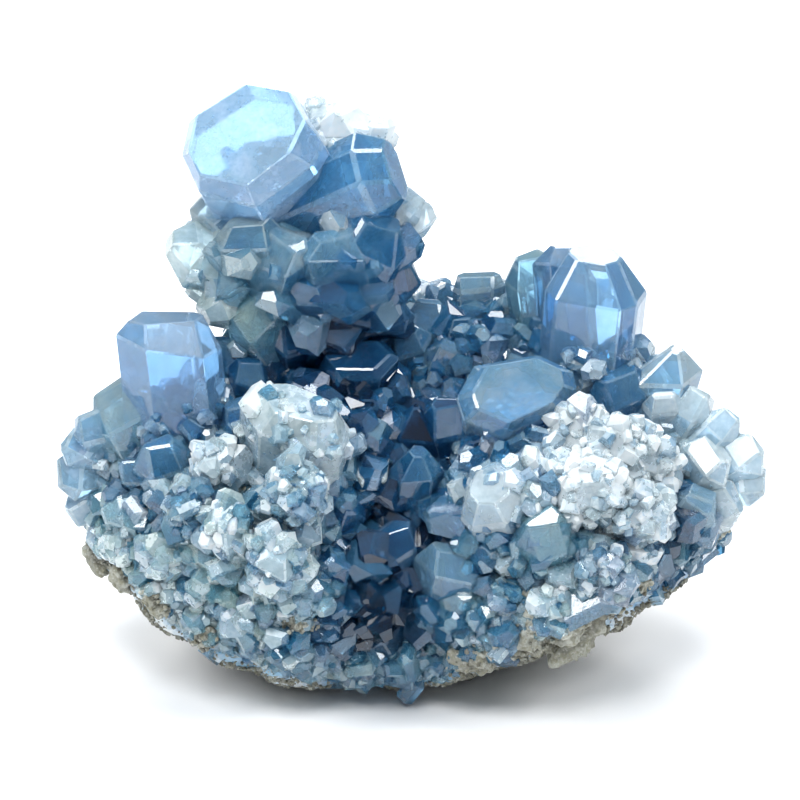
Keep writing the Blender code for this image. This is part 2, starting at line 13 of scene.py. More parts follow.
import bpy
import numpy as np
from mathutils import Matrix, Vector


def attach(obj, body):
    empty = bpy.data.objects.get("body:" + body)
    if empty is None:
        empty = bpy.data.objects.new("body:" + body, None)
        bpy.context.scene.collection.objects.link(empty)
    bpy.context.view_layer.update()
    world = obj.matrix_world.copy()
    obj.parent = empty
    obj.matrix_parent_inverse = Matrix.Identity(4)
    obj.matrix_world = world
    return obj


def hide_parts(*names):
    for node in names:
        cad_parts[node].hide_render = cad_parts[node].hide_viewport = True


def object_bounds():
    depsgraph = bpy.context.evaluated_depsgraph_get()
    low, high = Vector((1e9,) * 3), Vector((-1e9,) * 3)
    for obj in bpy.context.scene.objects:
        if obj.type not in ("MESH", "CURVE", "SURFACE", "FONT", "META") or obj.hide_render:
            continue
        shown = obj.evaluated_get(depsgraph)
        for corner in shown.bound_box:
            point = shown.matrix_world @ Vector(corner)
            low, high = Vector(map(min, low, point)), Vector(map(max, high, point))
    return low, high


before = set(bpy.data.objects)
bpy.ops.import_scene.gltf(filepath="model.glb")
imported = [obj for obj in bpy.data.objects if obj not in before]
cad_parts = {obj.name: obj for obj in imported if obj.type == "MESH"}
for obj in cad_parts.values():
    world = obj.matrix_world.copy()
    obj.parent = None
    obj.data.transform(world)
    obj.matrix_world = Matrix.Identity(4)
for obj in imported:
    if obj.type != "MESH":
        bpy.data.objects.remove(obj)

cad_low, cad_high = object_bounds()
print("CAD box in mm:", [round(v * 1000, 1) for v in (*cad_low, *cad_high)])

# %% [markdown]
# ## Where things are
# All shapes are worked out in millimetres around the same point as the solids, and are moved onto the
# middle of the resting face when they become a mesh. The picture looks from 27 degrees above the floor, so
# a place is easiest to give as it is seen: across, up the view, and how deep it lies.

# %% Directions and places
MM = 0.001
VIEW_RISE = math.radians(27)
REST_PLACE = np.array((0.0, 10.0, 0.0))
ROCK_MIDDLE = np.array((0.0, 14.0, 20.0))
RIGHT_AXIS = np.array((1.0, 0.0, 0.0))
UP_AXIS = np.array((0.0, math.sin(VIEW_RISE), math.cos(VIEW_RISE)))
OUT_AXIS = np.array((0.0, -math.cos(VIEW_RISE), math.sin(VIEW_RISE)))
BOX_LOW = np.array(cad_low) / MM + REST_PLACE
BOX_HIGH = np.array(cad_high) / MM + REST_PLACE


def seen(across, rise, depth):
    """Height = (rise - depth x sine of the view's angle) / cosine, so a place lands where it is seen."""
    height = (rise - depth * math.sin(VIEW_RISE)) / math.cos(VIEW_RISE)
    return np.array((across, depth, height))


def unit(vectors):
    """Each row divided by its length."""
    return vectors / np.linalg.norm(vectors, axis=-1, keepdims=True)


def within_box(points, margin):
    """The points, moved to the nearest place that lies this far inside the solids' box."""
    return np.clip(points, BOX_LOW + margin, BOX_HIGH - margin)


# %% [markdown]
# ## The rock's form
# The solid rock is a star shape: from one middle point, its surface lies at a reach that blends named
# places near each direction. The same places and waves are used here, so the fine surfaces lie on the solid
# ones.

# %% The named places and the blend
BLEND = 30.0
VALLEY = [(-2, 19, 45), (3, 7, 38), (-2, -2, 28), (-3, 0, 15), (-2, -12, 7), (18, 4, 38), (18, 12, 43),
          (12, -8, 24), (-17, 12, 44), (-11, -5, 33), (-12, -13, 20)]
RIM = [(7, 28, 53), (18, 28, 53), (31, 22, 50), (-16, 22, 51), (-30, 20, 48)]
RIGHT = [(42, 12, 42), (51, 4, 37), (54, 2, 32), (31, -3, 45), (30, -13, 38), (44, -5, 35), (28, -16, 27),
         (21, -14, 17), (44, -2, 30), (14, -8, 9), (24, -6, 13.5), (34, -3, 19.5), (42, -2, 26), (50, 0, 26)]
LEFT = [(-39, 10, 44), (-50, 4, 38), (-54, 2, 32), (-18, -1, 45), (-28, -1, 41), (-27, -15, 34),
        (-26, -19, 23), (-23, -14, 15), (-42, -9, 25), (-51, -1, 21), (-37, -8, 15), (-20, -6, 6),
        (-30, -5, 9.5), (-45, 0, 18)]
UNDER = [(0, 6, -2), (-12, 8, -1), (11, 8, -1), (-22, 6, 3), (21, 6, 5), (0, 26, 5), (-35, 12, 10),
         (33, 9, 18), (45, 7, 29), (-46, 8, 18)]
BACK = [(0, 40, 32), (-30, 35, 32), (30, 37, 32), (-48, 19, 32), (48, 19, 28), (0, 35, 15), (-25, 31, 14),
        (25, 31, 14), (0, 38, 48), (-22, 36, 46), (25, 35, 46)]
ANCHORS = np.array(VALLEY + RIM + RIGHT + LEFT + UNDER + BACK, float) - ROCK_MIDDLE
ANCHOR_REACH = np.linalg.norm(ANCHORS, axis=1)
print("named places of the rock:", len(ANCHORS))


def rock_reach(directions):
    """Mean of the anchors' reaches, each weighted by exp(BLEND x (cosine of its angle - 1))."""
    weights = np.exp(BLEND * (directions @ unit(ANCHORS).T - 1.0))
    return (weights @ ANCHOR_REACH) / weights.sum(axis=1)


def lump_waves(count, size, seed):
    """Seeded plane waves of about this size: headings times pitch, and phases."""
    draw = random.Random(seed)
    pitches = []
    phases = []
    for _ in range(count):
        heading = unit(np.array([draw.gauss(0, 1) for _ in range(3)]))
        pitches.append(heading * 2 * math.pi / (size * draw.uniform(0.7, 1.4)))
        phases.append(draw.uniform(0, 2 * math.pi))
    return np.array(pitches), np.array(phases)


def lumps(points, waves):
    """Sum of the waves' cosines at each point, over the root of their number."""
    pitches, phases = waves
    return np.cos(points @ pitches.T + phases).sum(axis=1) / math.sqrt(len(phases))


COARSE = lump_waves(count=9, size=26.0, seed=3)
FINE = lump_waves(count=12, size=9.0, seed=7)
SKIN = 2.4
SUNK = 3.0


def crystal_cover(directions):
    """Above 0 a direction is lined with crystals, below 0 bare rock: a tilted half with a lip in front."""
    x, y, z = directions.T
    lower_right = np.maximum(0.0, x) * np.maximum(0.0, -z - 0.15)
    front_lip = 0.14 * np.exp(-((x + 0.05) / 0.45) ** 2) * np.maximum(0.0, -y)
    return -0.65 * y + 0.76 * z - 0.04 - 0.9 * lower_right + front_lip


def stone_surface(directions):
    """Middle + direction x (blended reach + coarse lumps + fine pits that grow where the rock is bare)."""
    bare = np.clip(0.4 - 3 * crystal_cover(directions), 0, 1)
    reach = rock_reach(directions)
    reach = reach + (0.5 + 1.3 * bare) * lumps(directions * reach[:, None], COARSE)
    reach = reach + 1.0 * bare * lumps(directions * reach[:, None], FINE)
    return ROCK_MIDDLE + directions * reach[:, None]


def lined_part(directions):
    """1 where crystals line the rock and 0 where it is bare, blended across a narrow band between them."""
    return np.clip(0.5 + 6 * crystal_cover(directions), 0, 1)


def bed_surface(directions):
    """The stone surface plus a lumpy skin where it is lined, and sunk into the rock where it is bare."""
    points = stone_surface(directions)
    lined = lined_part(directions)
    skin = SKIN * (1 + 0.45 * lumps(points, FINE))
    return points + directions * (lined * skin - (1 - lined) * SUNK)[:, None]


def two_across(directions):
    """Two unit vectors that stand across each direction and across each other."""
    helper = np.where(np.abs(directions[:, 2:]) < 0.9, (0.0, 0.0, 1.0), (1.0, 0.0, 0.0))
    first = unit(np.cross(directions, helper))
    return first, np.cross(directions, first)


def surface_normals(directions, surface):
    """Cross product of the steps that the surface makes for two small turns of the direction."""
    turn = 0.02
    first, second = two_across(directions)
    here = surface(directions)
    along = surface(unit(directions + turn * first)) - here
    aside = surface(unit(directions + turn * second)) - here
    normals = unit(np.cross(along, aside))
    return normals * np.sign((normals * directions).sum(axis=1))[:, None]


# %% [markdown]
# ## A mesh from arrays
# Every piece ends here. The corners, the corner numbers of the faces and the size of each face are put into
# a mesh in one go. Each corner of each face also carries four growth numbers about the crystal it is on:
# how blue, how frosty and how green it is, and how far it lies between the crystal's root and its tip. The
# materials read them. Neighbouring faces may differ by a random amount of blue and frost. This paints the
# brighter and darker inner reflections that real facets show.

# %% Put arrays into a mesh
def growth_values(blue, frost, green, along):
    """The four growth numbers of each corner side by side, each given as an array or as one number."""
    return np.stack(np.broadcast_arrays(blue, frost, green, along), axis=-1)


def make_piece(name, corners, loops, sizes, growth=None, smooth=False):
    """A mesh object in metres at the origin, its place in its vertices, its faces flat or smooth."""
    mesh = bpy.data.meshes.new(name)
    mesh.vertices.add(len(corners))
    mesh.vertices.foreach_set("co", ((corners - REST_PLACE) * MM).ravel())
    mesh.loops.add(len(loops))
    mesh.loops.foreach_set("vertex_index", loops)
    mesh.polygons.add(len(sizes))
    mesh.polygons.foreach_set("loop_start", np.cumsum(sizes) - sizes)
    mesh.update(calc_edges=True)
    mesh.validate()
    if not smooth:
        mesh.shade_flat()
    if growth is not None:
        values = growth if len(growth) == len(loops) else growth[loops]
        layer = mesh.attributes.new("growth", "FLOAT_COLOR", "CORNER")
        layer.data.foreach_set("color", values.ravel())
    piece = bpy.data.objects.new(name, mesh)
    bpy.context.scene.collection.objects.link(piece)
    triangles = int((np.asarray(sizes) - 2).sum())
    low = corners.min(axis=0)
    high = corners.max(axis=0)
    print(f"{name}: {triangles} triangles, x {low[0]:.1f} {high[0]:.1f}, y {low[1]:.1f} {high[1]:.1f},"
          f" z {low[2]:.1f} {high[2]:.1f}")
    return piece


def ball_grid(columns, rows):
    """Directions of a globe's grid with one point at each pole, and its faces, all facing out."""
    longitude = np.arange(columns) * 2 * math.pi / columns
    latitude = np.arange(1, rows) * math.pi / rows
    flat, steep = np.meshgrid(longitude, latitude)
    ring = np.stack((np.sin(steep) * np.cos(flat), np.sin(steep) * np.sin(flat), np.cos(steep)), axis=-1)
    directions = np.vstack(((0, 0, 1), ring.reshape(-1, 3), (0, 0, -1)))
    step = np.arange(columns)
    after = (step + 1) % columns
    top = np.stack((np.zeros(columns, int), 1 + step, 1 + after), axis=1)
    upper = 1 + columns * np.arange(rows - 2)[:, None]
    lower = upper + columns
    middle = np.stack((upper + step, lower + step, lower + after, upper + after), axis=-1).reshape(-1, 4)
    last = 1 + columns * (rows - 2)
    pole = np.full(columns, last + columns)
    bottom = np.stack((last + step, pole, last + after), axis=1)
    loops = np.concatenate((top.ravel(), middle.ravel(), bottom.ravel()))
    sizes = np.concatenate((np.full(columns, 3), np.full(len(middle), 4), np.full(columns, 3)))
    return directions, loops, sizes


# %% [markdown]
# ## One crystal
# Celestite grows as blocky prisms with a roof and often a flat cap. A crystal here is the space behind a
# set of planes: its walls, one roof plane over each wall, a cap and a base. Its corners are all the points
# where three planes meet that no other plane cuts off. A crystal could also be cut from a cube by hand, but
# this way one function makes them all, with truly flat faces. Narrow extra planes along the edges give the
# worn, light edges that real crystals have.

# %% Planes of a crystal
ROOF = 0.62
LEAN = 0.38
ROLL = 24.0


def crystal_planes(width, thickness, length, cap_width, cap_thickness, sides, draw):
    """Outward normals and offsets: walls, base, cap, and roof planes through two wall corners and the cap."""
    half_w = width / 2
    half_t = thickness / 2
    roof = ROOF * min(width, thickness) * (1.15 - (cap_width + cap_thickness) / 2)
    lean_x = draw.uniform(-LEAN, LEAN)
    lean_y = draw.uniform(-LEAN, LEAN)
    shift_x = draw.uniform(-0.12, 0.12) * width * (1 - cap_width)
    shift_y = draw.uniform(-0.12, 0.12) * thickness * (1 - cap_thickness)
    turns = []
    walls = []
    caps = []
    for index in range(sides):
        turn = math.radians(90 + 360 * index / sides + draw.uniform(-9, 9))
        across = math.cos(turn)
        along = math.sin(turn)
        turns.append((across, along))
        bevel = 1.05 if sides == 8 and index % 2 else 1.0
        walls.append(math.hypot(half_w * across, half_t * along) * bevel * draw.uniform(0.9, 1.06))
        cap = math.hypot(half_w * cap_width * across, half_t * cap_thickness * along)
        caps.append(cap + shift_x * across + shift_y * along)

    def corner(index):
        """Where two neighbouring walls meet, at the height where the roof begins."""
        other = (index + 1) % sides
        (a, b), (c, d) = turns[index], turns[other]
        spread = a * d - b * c
        x = (walls[index] * d - walls[other] * b) / spread
        y = (a * walls[other] - c * walls[index]) / spread
        return np.array((x, y, -roof + lean_x * x + lean_y * y))

    normals = [np.array((across, along, 0.0)) for across, along in turns]
    offsets = list(walls)
    normals.append(np.array((0.0, 0.0, -1.0)))
    offsets.append(length)
    normals.append(unit(np.array((-0.3 * lean_x, -0.3 * lean_y, 1.0))))
    offsets.append(0.0)
    for index in range(sides):
        first = corner(index - 1)
        second = corner(index)
        top = normals[index] * caps[index]
        normal = unit(np.cross(second - first, top - first))
        if normal @ normals[index] < 0:
            normal = -normal
        normals.append(normal)
        offsets.append(normal @ first)
    return np.array(normals), np.array(offsets)


# %% Corners and faces behind planes
TOUCH = 0.0008


def corners_behind(normals, offsets):
    """All points where three planes meet, kept where no plane lies below them, each place once."""
    triples = np.array(list(itertools.combinations(range(len(normals)), 3)))
    matrices = normals[triples]
    meeting = np.abs(np.linalg.det(matrices)) > 1e-5
    points = np.linalg.solve(matrices[meeting], offsets[triples[meeting]][..., None])[..., 0]
    points = points[(points @ normals.T <= offsets + TOUCH / 4).all(axis=1)]
    near = np.linalg.norm(points[:, None] - points[None], axis=2) < TOUCH
    return points[near.argmax(axis=1) == np.arange(len(points))]


def faces_on(corners, normals, offsets):
    """For each plane, the corners on it in order of their angle around their middle, and its number."""
    faces = []
    numbers = []
    for number, (normal, offset) in enumerate(zip(normals, offsets)):
        on_plane = np.flatnonzero(np.abs(corners @ normal - offset) < TOUCH)
        if len(on_plane) < 3:
            continue
        spokes = corners[on_plane] - corners[on_plane].mean(axis=0)
        first = spokes[np.linalg.norm(spokes, axis=1).argmax()]
        second = np.cross(normal, first)
        faces.append(on_plane[np.argsort(np.arctan2(spokes @ second, spokes @ first))])
        numbers.append(number)
    return faces, np.array(numbers)


def worn_planes(normals, offsets, wear, draw):
    """The planes and, for each edge between two faces, a plane that cuts it back by about the wear."""
    corners = corners_behind(normals, offsets)
    on_plane = np.abs(corners @ normals.T - offsets) < TOUCH
    new_normals = [*normals]
    new_offsets = [*offsets]
    for one, other in itertools.combinations(range(len(normals)), 2):
        shared = corners[on_plane[:, one] & on_plane[:, other]]
        if len(shared) < 2 or normals[one] @ normals[other] > 0.985:
            continue
        normal = unit(normals[one] + normals[other])
        new_normals.append(normal)
        new_offsets.append((shared @ normal).max() - wear * draw.uniform(0.3, 1.2))
    return np.array(new_normals), np.array(new_offsets)


def crystal_axes(lean, turn):
    """Side, front and growth axes of a crystal that leans in the view and turns to the viewer, as columns."""
    flat = math.cos(math.radians(lean)) * RIGHT_AXIS + math.sin(math.radians(lean)) * UP_AXIS
    axis = math.cos(math.radians(turn)) * flat + math.sin(math.radians(turn)) * OUT_AXIS
    side = unit(np.cross(axis, OUT_AXIS - math.sin(math.radians(turn)) * axis))
    return np.stack((side, np.cross(axis, side), axis), axis=1)


def roll_axes(degrees):
    """A turn around the growth axis."""
    c = math.cos(math.radians(degrees))
    s = math.sin(math.radians(degrees))
    return np.array(((c, -s, 0), (s, c, 0), (0, 0, 1)))


# %% [markdown]
# ## The large crystals
# These lists are the solids' own. Each row has a name, then where the tip is seen: across, up and how deep.
# The width, thickness and length follow in millimetres, and how the crystal leans and turns in degrees.
# Then come the cap's share of the width and of the thickness, and the number of walls. The last three
# numbers are new here: how blue the crystal is, how frosty and how green. The blue number is partly the
# crystal's own colour and partly painted shade: it is highest for crystals deep in the hollow and at the
# tower's foot. Most crystals have one of three common forms.

# %% Common forms and the tower's crystals
RIDGED = (0.5, 0.15, 6)
ROOFED = (0.55, 0.2, 6)
BROAD = (0.65, 0.25, 6)
TOWER = [
    ("stem", -17.5, 86, 23, 18, 15, 37, 91, 27, 0.7, 0.7, 8, 0.5, 0.1, 0.1),
    ("top", -27.6, 90.9, 12, 23, 20, 17, 120, 62, 0.85, 0.8, 8, 0.35, 0.4, -0.1),
    ("block", -2.2, 85.5, 14, 15, 14, 24, 24, 24, 0.7, 0.45, 8, 0.46, 0.1, 0.05),
    ("frost left", -14.2, 96.5, 27, 10, 9, 18, 100, -8, *RIDGED, 0.08, 0.9, 0),
    ("frost right", -7.5, 94.6, 25, 10, 8, 20, 72, -5, *RIDGED, 0.08, 0.85, 0),
    ("shoulder", -35.5, 80.5, 19, 9, 8, 15, 138, 8, *ROOFED, 0.2, 0.35, 0.1),
    ("wedge", -40.6, 72.6, 14, 10, 9, 20, 163, 12, 0.3, 0.6, 6, 0.12, 0.45, 0.5),
    ("left face", -27.5, 76.5, 9, 12, 9, 17, 108, 45, 0.6, 0.3, 6, 0.22, 0.15, 0.2),
    ("left face low", -33, 69.5, 11, 10, 8, 16, 140, 40, *RIDGED, 0.18, 0.35, 0.3),
    ("middle left", -20.5, 74, 7, 11, 9, 17, 72, 50, 0.7, 0.3, 6, 0.3, 0.1, 0.1),
    ("middle", -13.4, 74.5, 7, 12, 9, 17, 104, 48, 0.6, 0.3, 6, 0.36, 0.1, 0),
    ("middle low", -16.6, 67, 7, 11, 8, 16, 80, 58, 0.5, 0.3, 6, 0.55, 0.1, 0.1),
    ("right face", -4.6, 76.5, 9, 12, 9, 18, 62, 40, 0.6, 0.4, 6, 0.5, 0.05, -0.1),
    ("right low", -6.2, 69, 10, 11, 9, 16, 48, 42, *RIDGED, 0.65, 0.05, 0),
    # The foot crystals' high blue numbers are partly painted shade at the tower's foot.
    ("foot left", -28, 63.5, 9, 11, 9, 15, 125, 40, *BROAD, 0.36, 0.2, 0.7),
    ("foot middle", -20, 60.5, 9, 10, 8, 13, 95, 52, *RIDGED, 0.8, 0.05, 0.2),
    ("foot right", -11, 61, 10, 10, 9, 13, 70, 50, *RIDGED, 0.95, 0, 0),
    ("side", 1, 68.5, 15, 9, 8, 15, 22, 20, *ROOFED, 0.62, 0.05, 0),
    ("side low", -0.5, 62.5, 14, 9, 8, 14, 15, 30, *ROOFED, 0.7, 0.05, 0),
    ("side top", 1, 81.5, 19, 8, 7, 15, 52, 8, *RIDGED, 0.25, 0.35, 0),
    ("side tip", 4, 78.6, 18, 6, 5, 14, 28, 5, *RIDGED, 0.12, 0.6, 0),
    ("back top", -24, 84, 33, 13, 11, 16, 100, -50, *ROOFED, 0.32, 0.2, 0),
    ("back right", -6, 80, 34, 12, 10, 16, 60, -50, *ROOFED, 0.32, 0.2, 0),
    ("back left", -32, 72, 30, 11, 10, 16, 150, -40, *ROOFED, 0.32, 0.2, 0),
    ("back middle", -17, 71, 37, 12, 11, 18, 90, -65, *ROOFED, 0.32, 0.2, 0),
    ("back foot", -5, 66, 34, 10, 9, 14, 30, -50, *ROOFED, 0.32, 0.2, 0),
    ("back low", -28, 62, 36, 11, 9, 14, 160, -50, *ROOFED, 0.32, 0.2, 0),
]
print("crystals of the tower:", len(TOWER))

# %% The left rim's crystals
LEFT_RIM = [
    ("block", -41.1, 60.6, 6, 16, 13, 24, 96, 18, 0.75, 0.5, 6, 0.31, 0.22, -0.35),
    ("teal", -50, 48.7, 4, 13, 11, 20, 120, 25, *ROOFED, 0.25, 0.12, 0.3),
    ("grey", -41.9, 39.8, -6, 9.5, 9, 15, 100, 52, *ROOFED, 0.42, 0.1, 0.1),
    ("small dark", -39.9, 43.3, -1, 5, 5, 10, 90, 72, 0.8, 0.8, 6, 0.65, 0, 0),
    ("mirror", -33, 49.9, 6, 6.5, 6, 13, 80, 62, 0.85, 0.8, 6, 0.03, 0.6, 0),
    ("small mirror", -44.2, 42.3, 0, 4.4, 4, 9, 85, 62, 0.85, 0.8, 6, 0.03, 0.6, 0),
    ("violet", -27.7, 46.9, 0, 12, 9, 17, 112, 38, 0.6, 0.4, 6, 0.45, 0.05, -0.4),
    ("frosted block", -18.4, 46.5, -8, 19, 14, 23, 86, 45, 0.7, 0.5, 8, 0.18, 0.69, 0.3),
    ("edge a", -57.5, 40.5, 2, 8, 7, 11, 150, 30, *ROOFED, 0.28, 0.35, 0.1),
    ("edge b", -54, 44, 1, 7, 6, 11, 120, 40, *ROOFED, 0.3, 0.3, 0.1),
    ("edge c", -59.3, 34, 1, 9, 7, 12, 188, 25, *ROOFED, 0.28, 0.4, 0.1),
    ("edge d", -57, 27, 1, 8, 7.5, 11, 215, 20, *ROOFED, 0.25, 0.5, 0.1),
    ("edge e", -53.5, 22, -1, 8, 7, 10, 215, 35, *ROOFED, 0.25, 0.6, 0.1),
    ("foot a", -32.7, 56.5, 9, 9, 8, 14, 110, 40, *ROOFED, 0.55, 0.1, 0.1),
    ("foot b", -26.5, 53, 6, 8, 7, 13, 80, 50, *ROOFED, 0.62, 0.05, 0),
    ("front white", -32.7, 38.6, -11, 6, 5.5, 11, 95, 50, *ROOFED, 0.1, 0.8, 0),
    ("front a", -37.5, 30.5, -15, 9, 8, 11, 118, 50, *BROAD, 0.35, 0.15, 0.3),
    ("front b", -30.5, 27, -20, 8.5, 8, 11, 100, 60, 0.6, 0.6, 6, 0.25, 0.5, 0.5),
    ("front c", -43, 24, -11, 8, 7, 11, 150, 45, *BROAD, 0.35, 0.2, 0.4),
    ("front d", -22, 22, -25, 8.5, 8, 11, 85, 70, 0.5, 0.6, 6, 0.28, 0.5, 0.5),
    ("front e", -28, 12, -20, 8, 8, 11, 120, 72, *ROOFED, 0.4, 0.15, 0.5),
    ("front f", -19, 33, -21, 9, 8, 12, 80, 62, 0.6, 0.6, 6, 0.25, 0.4, 0.3),
]
print("crystals of the left rim:", len(LEFT_RIM))

# %% The hollow's crystals
# The hollow's high blue numbers are partly the crystals' own colour and partly painted shade.
HOLLOW = [
    ("block", -8.6, 54.4, 8, 13, 11, 18, 82, 50, 0.8, 0.6, 6, 0.75, 0.05, 0),
    ("slab", -6.4, 44.5, 2, 10, 6, 12, 82, 35, 0.9, 0.8, 8, 0.06, 0.6, -1),
    ("thin slab", -16.8, 50, 5, 7, 4, 11, 95, 40, 0.9, 0.7, 6, 0.2, 0.45, -1),
    ("dark spear", 1.2, 45.4, 2, 9, 8, 14, 94, 45, 0.15, 0.15, 6, 0.88, 0, 0),
    ("white face", -6.7, 36, -6.5, 7, 6.5, 11, 80, 62, 0.85, 0.85, 5, 0.04, 0.62, 0.3),
    ("spear", 1, 38, -5, 9, 8, 15, 84, 40, 0.3, 0.4, 6, 0.5, 0.05, 0),
    ("lavender", -4, 25.5, -10, 11, 9, 15, 95, 40, *BROAD, 0.5, 0.08, -0.6),
    ("grey blue", 8.4, 22, -14, 13, 10, 17, 80, 45, *BROAD, 0.36, 0.18, 0.1),
    ("big face", 17.8, 49, -2, 19.5, 13.5, 20, 90, 66, 0.78, 0.72, 8, 0.32, 0.12, 0.1),
    ("beside big", 6, 45.8, 0, 9, 8, 13, 105, 55, *ROOFED, 0.65, 0.05, 0),
    ("slope a", 3.4, 63.2, 22, 8, 7, 12, 85, 40, *RIDGED, 0.44, 0.12, 0),
    ("slope b", 8.5, 61, 20, 7.5, 7, 12, 80, 50, *RIDGED, 0.44, 0.12, 0),
    ("slope c", 13, 59.4, 18, 8, 7, 12, 95, 50, *BROAD, 0.44, 0.12, 0),
    ("slope d", -1, 58.6, 17, 8, 7, 12, 100, 50, *ROOFED, 0.44, 0.12, 0),
    ("slope e", 7, 55.4, 14, 8, 8, 13, 80, 58, *ROOFED, 0.44, 0.12, 0),
    ("slope f", 16, 63.4, 24, 8, 7, 12, 90, 40, *RIDGED, 0.35, 0.3, 0.2),
    ("slope g", 21, 57.6, 15, 8.5, 7, 12, 85, 55, *BROAD, 0.44, 0.12, 0),
    ("left wall a", -13, 40, -2, 7, 6, 11, 50, 50, *ROOFED, 0.7, 0.1, 0),
    ("left wall b", -10.5, 30, -11, 8, 7, 12, 55, 55, *ROOFED, 0.75, 0.05, 0),
    ("left wall c", -12, 20, -17, 8, 7, 12, 55, 60, *ROOFED, 0.62, 0.08, 0),
    ("left wall d", -13, 11, -19, 8, 7, 12, 40, 62, *ROOFED, 0.62, 0.08, 0),
    ("dark a", 19.6, 41.4, -4, 6, 6, 10, 100, 60, *ROOFED, 0.8, 0.05, 0),
    ("dark b", 24.5, 42, -4, 6, 6, 10, 80, 60, *ROOFED, 0.8, 0.05, 0),
    ("dark c", 11.7, 40.6, -3, 7, 6, 11, 90, 60, *ROOFED, 0.8, 0.05, 0),
    ("dark d", 8, 31, -8, 7, 6, 11, 75, 58, *ROOFED, 0.8, 0.05, 0),
]
print("crystals of the hollow:", len(HOLLOW))

# %% Crystals of the right rim and the lip
RIGHT_RIM = [
    ("big", 31.6, 71.2, 14, 17.5, 15, 27, 84, 26, 0.5, 0.45, 8, 0.37, 0.2, -0.2),
    ("green", 20.3, 71.2, 22, 9.5, 8, 16, 98, 15, 0.55, 0.5, 6, 0.3, 0.2, 0.6),
    ("lavender", 26.2, 72.6, 20, 10, 9, 18, 94, 12, *RIDGED, 0.3, 0.12, -0.6),
    ("flat", 11.7, 68, 28, 8.5, 7, 13, 90, 15, 0.85, 0.5, 6, 0.28, 0.2, 0.3),
    ("pointed", 44.4, 55.4, 8, 11, 9, 18, 74, 28, 0.2, 0.3, 6, 0.15, 0.25, 0.1),
    ("small a", 42.5, 48, 3, 7, 6, 11, 90, 50, *ROOFED, 0.15, 0.5, 0),
    ("small b", 49, 48, 4, 7, 6.5, 12, 60, 30, *ROOFED, 0.15, 0.5, 0.1),
    ("small c", 54.4, 44.2, 2, 6.5, 6, 11, 45, 20, *ROOFED, 0.15, 0.55, 0.1),
    ("edge a", 58.6, 39, 0, 8, 7, 11, 30, 30, *ROOFED, 0.15, 0.55, 0.1),
    ("edge b", 59.8, 32.5, 0, 8.5, 7, 12, -8, 25, *ROOFED, 0.15, 0.55, 0.1),
    ("blue", 35, 51, 5, 11, 9, 14, 90, 50, *BROAD, 0.5, 0.05, -0.1),
    ("white a", 28.5, 55, 8, 7, 5, 11, 100, 50, 0.8, 0.6, 6, 0.04, 0.61, 0),
    ("frost top", 26.8, 45.5, -4, 11, 10, 15, 96, 42, *ROOFED, 0.08, 0.75, 0),
    ("frost a", 33.9, 42.8, -8, 12, 10, 15, 88, 52, *ROOFED, 0.08, 0.85, 0),
    ("frost b", 40.4, 40.2, -7, 11, 9, 14, 70, 52, *ROOFED, 0.08, 0.85, 0),
    ("frost c", 29.5, 34.9, -17, 12, 11, 15, 95, 60, 0.6, 0.5, 8, 0.08, 0.85, 0),
    ("frost d", 38.5, 31.3, -16, 10, 10, 14, 70, 60, *BROAD, 0.08, 0.8, 0),
    ("globe", 13, 32.4, -17, 11.5, 11, 16, 112, 58, 0.6, 0.6, 8, 0.1, 0.4, 0),
    ("right frost a", 51.6, 38.3, -2, 10, 8, 13, 50, 45, *BROAD, 0.12, 0.6, 0.1),
    ("right frost b", 55, 30.8, -3, 9.5, 9, 13, 20, 42, *BROAD, 0.12, 0.6, 0.1),
    ("right frost c", 48.4, 29.5, -9, 8.5, 8, 12, 50, 60, *BROAD, 0.32, 0.3, 0.2),
    ("green teal", 46.5, 22.5, -8, 11, 9, 14, 10, 50, *ROOFED, 0.4, 0.12, 0.8),
    ("teal", 22, 26.2, -21, 9, 9, 12, 95, 66, *BROAD, 0.35, 0.15, 0.7),
    ("low a", 15.1, 14.6, -20, 9, 8, 13, 100, 50, 0.3, 0.4, 6, 0.36, 0.25, 0.4),
    ("low b", 24, 14, -22, 8, 8, 12, 90, 70, *ROOFED, 0.18, 0.55, 0.3),
    ("low c", 32, 20, -22, 9, 8, 12, 75, 68, *ROOFED, 0.4, 0.3, 0.4),
    ("low d", 40, 20, -12, 8, 8, 12, 40, 55, *ROOFED, 0.36, 0.35, 0.4),
]
LIP = [
    ("a", -8.4, 6.4, -14, 8, 7, 10, 100, 58, *ROOFED, 0.35, 0.25, 0.5),
    ("b", -1.7, 7, -13, 8, 7, 10, 90, 52, 0.4, 0.4, 6, 0.35, 0.25, 0.5),
    ("c", -16, 7.4, -16, 8, 8, 10, 110, 66, *ROOFED, 0.35, 0.25, 0.5),
    ("d", 5, 7.4, -13, 7, 7, 10, 85, 55, *ROOFED, 0.35, 0.25, 0.5),
    ("e", -25, 8, -16, 8, 8, 10, 190, 66, *ROOFED, 0.35, 0.25, 0.5),
    ("f", 11, 9.4, -15, 7, 7, 10, 80, 58, *ROOFED, 0.35, 0.25, 0.5),
]
print("crystals of the right rim and the lip:", len(RIGHT_RIM), len(LIP))
